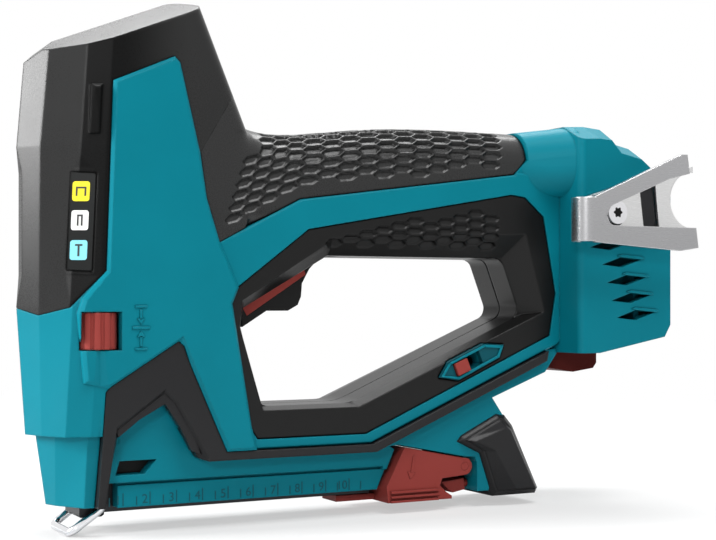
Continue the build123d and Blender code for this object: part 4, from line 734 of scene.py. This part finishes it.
PANEL_FACE = 22.5
DEPTH_SIGN_AT = (13.3, -PANEL_FACE, 67.0)
depth_sign = [
    bar(-3.2, -0.5, 6.4, 1.0), bar(-2.2, 7.0, 4.4, 0.8), bar(-2.2, -7.8, 4.4, 0.8),
    [(-0.4, 2.9), (0.4, 2.9), (0.4, 6.4), (-0.4, 6.4)], [(-1.5, 3.2), (0, 1.2), (1.5, 3.2)],
    [(-0.4, -6.4), (0.4, -6.4), (0.4, -2.9), (-0.4, -2.9)], [(-1.5, -3.2), (1.5, -3.2), (0, -1.2)],
]
panel_place = stand_on(DEPTH_SIGN_AT, (1, 0, 0), (0, 0, 1))
relief("depth_sign", depth_sign, panel_place, -0.2, 0.40, teal_housing, "housing")


# Lips, rims, facets and plates on the sides, some of them dark as painted shade; their places are x and z in
# millimetres.
FAR_OUT = 60


def side_relief(name, side, spot, outlines, low, high, material, body, tops=None):
    """Outlines raised from the face that lies at a spot of that side."""
    depsgraph = bpy.context.evaluated_depsgraph_get()
    start = Vector((spot[0], side * FAR_OUT, spot[1])) * MM
    met = scene.ray_cast(depsgraph, start, (0, -side, 0))[1]
    place = stand_on((0, met.y / MM, 0), (-side, 0, 0), (0, 0, 1))
    ends = []
    for shapes in (outlines, tops or outlines):
        ends.append([[(-side * x, z) for x, z in shape] for shape in shapes])
    relief(name, ends[0], place, low, high, material, body, ends[1])


def band(outer, inner):
    """Strips between two outlines with as many corners."""
    strips = []
    for k in range(len(outer)):
        after = (k + 1) % len(outer)
        strips.append([outer[k], outer[after], inner[after], inner[k]])
    return strips


def turned(at, angle, outline):
    """An outline turned and moved to a spot."""
    c, s = cos(angle), sin(angle)
    return [(at[0] + u * c - v * s, at[1] + u * s + v * c) for u, v in outline]


def round_of(at, radius, wave=0.0, count=36):
    """A round outline, with six lobes when it has a wave."""
    outline = []
    for k in range(count):
        turn = 2 * pi * k / count
        reach = radius + wave * cos(6 * turn)
        outline.append((at[0] + reach * cos(turn), at[1] + reach * sin(turn)))
    return outline


POCKET_SHADE = ((6.9, 15.2), (17.3, 15.2), (21.4, 19.8), (8.4, 19.8))
VENTS = ((214.6, 92.1), (217.0, 84.8), (219.3, 77.5), (221.9, 70.5))
VENT_LIP = ((-0.4, 2.2), (10.2, 0.0), (11.6, 0.2), (10.6, 1.1), (0.0, 3.2), (-2.2, 2.8))
VENT_TURN = radians(6.5)
TRIM_BEVEL = ((5.2, 31.8), (23.2, 44.8), (26.4, 43.4), (33.6, 31.4), (36.6, 21.4), (33.1, 22.9), (28.7, 31.4),
              (23.1, 40.0), (13.8, 34.9), (5.9, 28.9))
for side_name, side in SIDES:
    side_relief(side_name + "_trim_bevel", side, (22.8, 41.6), [TRIM_BEVEL], -2.5, 0.3, black_trim,
                "housing")
    # A dark plate in the pocket, as painted shade in the recess.
    side_relief(side_name + "_pocket_shade_plate", side, (12, 17.5), [POCKET_SHADE], -0.2, 0.06, dark_plastic_and_shade,
                "housing")
    lips = [turned(vent, VENT_TURN, VENT_LIP) for vent in VENTS]
    side_relief(side_name + "_vent_lips", side, (214, 65.5), lips, -0.2, 0.55, teal_housing, "housing")

FOOT_CHEEK = ((148.4, 21.4), (165.2, 29.2), (170.9, 25.0), (182.6, 0.2), (163.6, 0.0), (157.7, 16.5))
FOOT_CHEEK_TOP = ((152.8, 20.6), (167.0, 25.2), (169.6, 24.0), (181.4, 0.6), (172.2, 0.6), (162.2, 16.6))
for side_name, side in SIDES:
    side_relief(side_name + "_foot_cheek", side, (170.0, 10.0), [FOOT_CHEEK], -0.2, 1.8, black_trim,
                "housing", [FOOT_CHEEK_TOP])

LOCK_RIM = ((136.9, 46.6), (140.5, 51.9), (156.9, 58.9), (165.9, 58.4), (164.1, 53.9), (145.2, 45.4))
LOCK_RIM_IN = ((138.4, 47.0), (141.3, 51.2), (157.1, 57.9), (164.3, 57.4), (163.2, 54.6), (145.1, 46.4))
side_relief("lock_rim", -1, (139.6, 48.4), band(LOCK_RIM, LOCK_RIM_IN), -0.2, 0.45, teal_housing, "housing")

# A lip that closes the gap above the lever; its dark colour is painted shadow.
BRACKET_SHADE_LIP = ((119.0, 21.6), (119.0, 20.3), (122.5, 19.55), (149.5, 14.15), (149.5, 16.0), (123.0, 21.6))
relief("bracket_shade_lip", [BRACKET_SHADE_LIP], stand_on((0, 0, 0), (1, 0, 0), (0, 0, 1)), -1.0, 1.0, dark_plastic_and_shade,
       "housing")
ARROW_SHAFT = ((126.2, 16.0), (127.1, 16.0), (126.0, 9.6), (125.1, 9.6))
ARROW_HEAD = ((123.7, 10.0), (127.4, 9.4), (124.9, 7.0))
for side_name, side in SIDES:
    side_relief(side_name + "_lever_arrow", side, (131.0, 10.0), [ARROW_SHAFT, ARROW_HEAD], -0.1, 0.25,
                red_plastic, "magazine_lever")

HOOK_SCREW = (209.0, 112.0)
HOOK_WINDOW = ((222.0, 123.9), (224.7, 104.0), (232.2, 104.0), (229.7, 125.5))
SCREW_SHADOW_RADIUS = 5.7
DRIVE_RADIUS, DRIVE_LOBE = 1.9, 0.35
# A dark plate behind the hook's window: the plate beneath, with its shade painted on.
side_relief("hook_window_shade", -1, (227.0, 114.0), [HOOK_WINDOW], -0.2, 0.6, blackened_steel_and_shade, "housing")
# A dark ring around the screw head: a painted shadow.
side_relief("hook_screw_shadow", -1, (216.5, 112.0), [round_of(HOOK_SCREW, SCREW_SHADOW_RADIUS)], -0.1, 0.12,
            blackened_steel_and_shade, "housing")
# A flat dark disc on the screw head: painted shade in the shape of its drive recess.
side_relief("screw_drive_shade", -1, (212.2, 112.0), [round_of(HOOK_SCREW, DRIVE_RADIUS, DRIVE_LOBE)], -0.2, 0.04,
            dark_plastic_and_shade, "housing")


# Camera, light and floor, in metres.
PHOTO_WIDTH = 716
HORIZON_SHIFT = 30
CAMERA_AT = (-0.1501, -0.49064, 0.07665)
CAMERA_TURN = -28
LENS = 70.82
AIM = (0.06, 0, 0.09)
LAMPS = (
    ("left_softbox", (-0.95, 0.20, 0.48), 0.30, 0.55, 16.0),
    ("front_softbox", (-0.62, -0.92, 0.50), 0.24, 0.16, 4.0),
    ("key_softbox", (0.15, -0.45, 1.05), 0.70, 0.50, 10.0),
    ("back_softbox", (0.30, 0.40, 1.00), 0.90, 0.50, 14.0),
)
SOFT_LIGHT = 0.16
FLOOR_MIDDLE_X = 0.06
FLOOR_GAP = 0.0001
FLOOR_FADE = (0.30, 0.75)
FLOOR_GLOW = 0.5


def lamp(name, place, width, height, power):
    """A softbox of that size, aimed at the object's middle."""
    light = bpy.data.lights.new(name, "AREA")
    light.shape = "RECTANGLE"
    light.size = width
    light.size_y = height
    light.energy = power
    piece = bpy.data.objects.new(name, light)
    piece.location = place
    piece.rotation_euler = (Vector(AIM) - Vector(place)).to_track_quat("-Z", "Y").to_euler()
    scene.collection.objects.link(piece)


def studio():
    """The photograph's camera, the lamps and a white background."""
    scene.view_settings.view_transform = "Standard"
    camera = bpy.data.cameras.new("photo_camera")
    camera.sensor_width = 36.0
    camera.lens = LENS
    camera.shift_y = HORIZON_SHIFT / PHOTO_WIDTH
    camera.clip_start = 0.01
    view = bpy.data.objects.new("photo_camera", camera)
    view.location = CAMERA_AT
    view.rotation_euler = (radians(90), 0, radians(CAMERA_TURN))
    scene.collection.objects.link(view)
    scene.camera = view
    for settings in LAMPS:
        lamp(*settings)
    air = Finish("studio_air", bpy.data.worlds)
    seen = air.node("LightPath", output="Is Camera Ray")
    for ray in ("Is Glossy Ray", "Is Transmission Ray"):
        seen = seen.most(air.node("LightPath", output=ray))
    soft_light = air.node("Background", None, {"Color": (1, 1, 1, 1), "Strength": SOFT_LIGHT})
    white = air.node("Background", None, {"Color": (1, 1, 1, 1), "Strength": 1.0})
    mixed = air.node("MixShader", None, {0: seen, 1: soft_light, 2: white})
    air.node("OutputWorld", None, {"Surface": mixed})
    scene.world = air.material


def bench_finish():
    """Pale floor that goes over to plain white away from the object."""
    finish = Finish("pale_floor")
    reach = finish.node("VectorMath", {"operation": "LENGTH"}, {0: finish.spot()}, output="Value")
    far = reach.over(*FLOOR_FADE)
    cloud = finish.noise(0.05, 3.0)
    tone = finish.blend(cloud, (0.66, 0.66, 0.66, 1), (0.70, 0.70, 0.70, 1))
    matt = finish.node("BsdfDiffuse", None, {"Color": tone})
    glow = finish.node("Emission", None, {"Color": (1, 1, 1, 1), "Strength": 1.0})
    path = finish.node("LightPath", output="Is Camera Ray")
    share = (far * (1 - FLOOR_GLOW) + FLOOR_GLOW) * path
    mixed = finish.node("MixShader", None, {0: share, 1: matt, 2: glow})
    finish.node("OutputMaterial", None, {"Surface": mixed})
    return finish.material


def bench():
    """A round floor just under the object."""
    rings = (0.25, 0.6, 1.2, 3.0, 9.0)
    sides = 64
    points = [(0, 0, 0)]
    faces = []
    for number, radius in enumerate(rings):
        for k in range(sides):
            turn = 2 * pi * k / sides
            points.append((radius * cos(turn), radius * sin(turn), 0))
            after = (k + 1) % sides
            inner = 1 + (number - 1) * sides
            outer = 1 + number * sides
            if number == 0:
                faces.append((0, outer + k, outer + after))
            else:
                faces.append((inner + k, outer + k, outer + after, inner + after))
    mesh = bpy.data.meshes.new("pale_floor")
    mesh.from_pydata(points, [], faces)
    mesh.materials.append(bench_finish())
    floor_piece = bpy.data.objects.new("pale_floor", mesh)
    floor_piece.location = (FLOOR_MIDDLE_X, 0, cad_box[0][2] - FLOOR_GAP)
    scene.collection.objects.link(floor_piece)


studio()
bench()
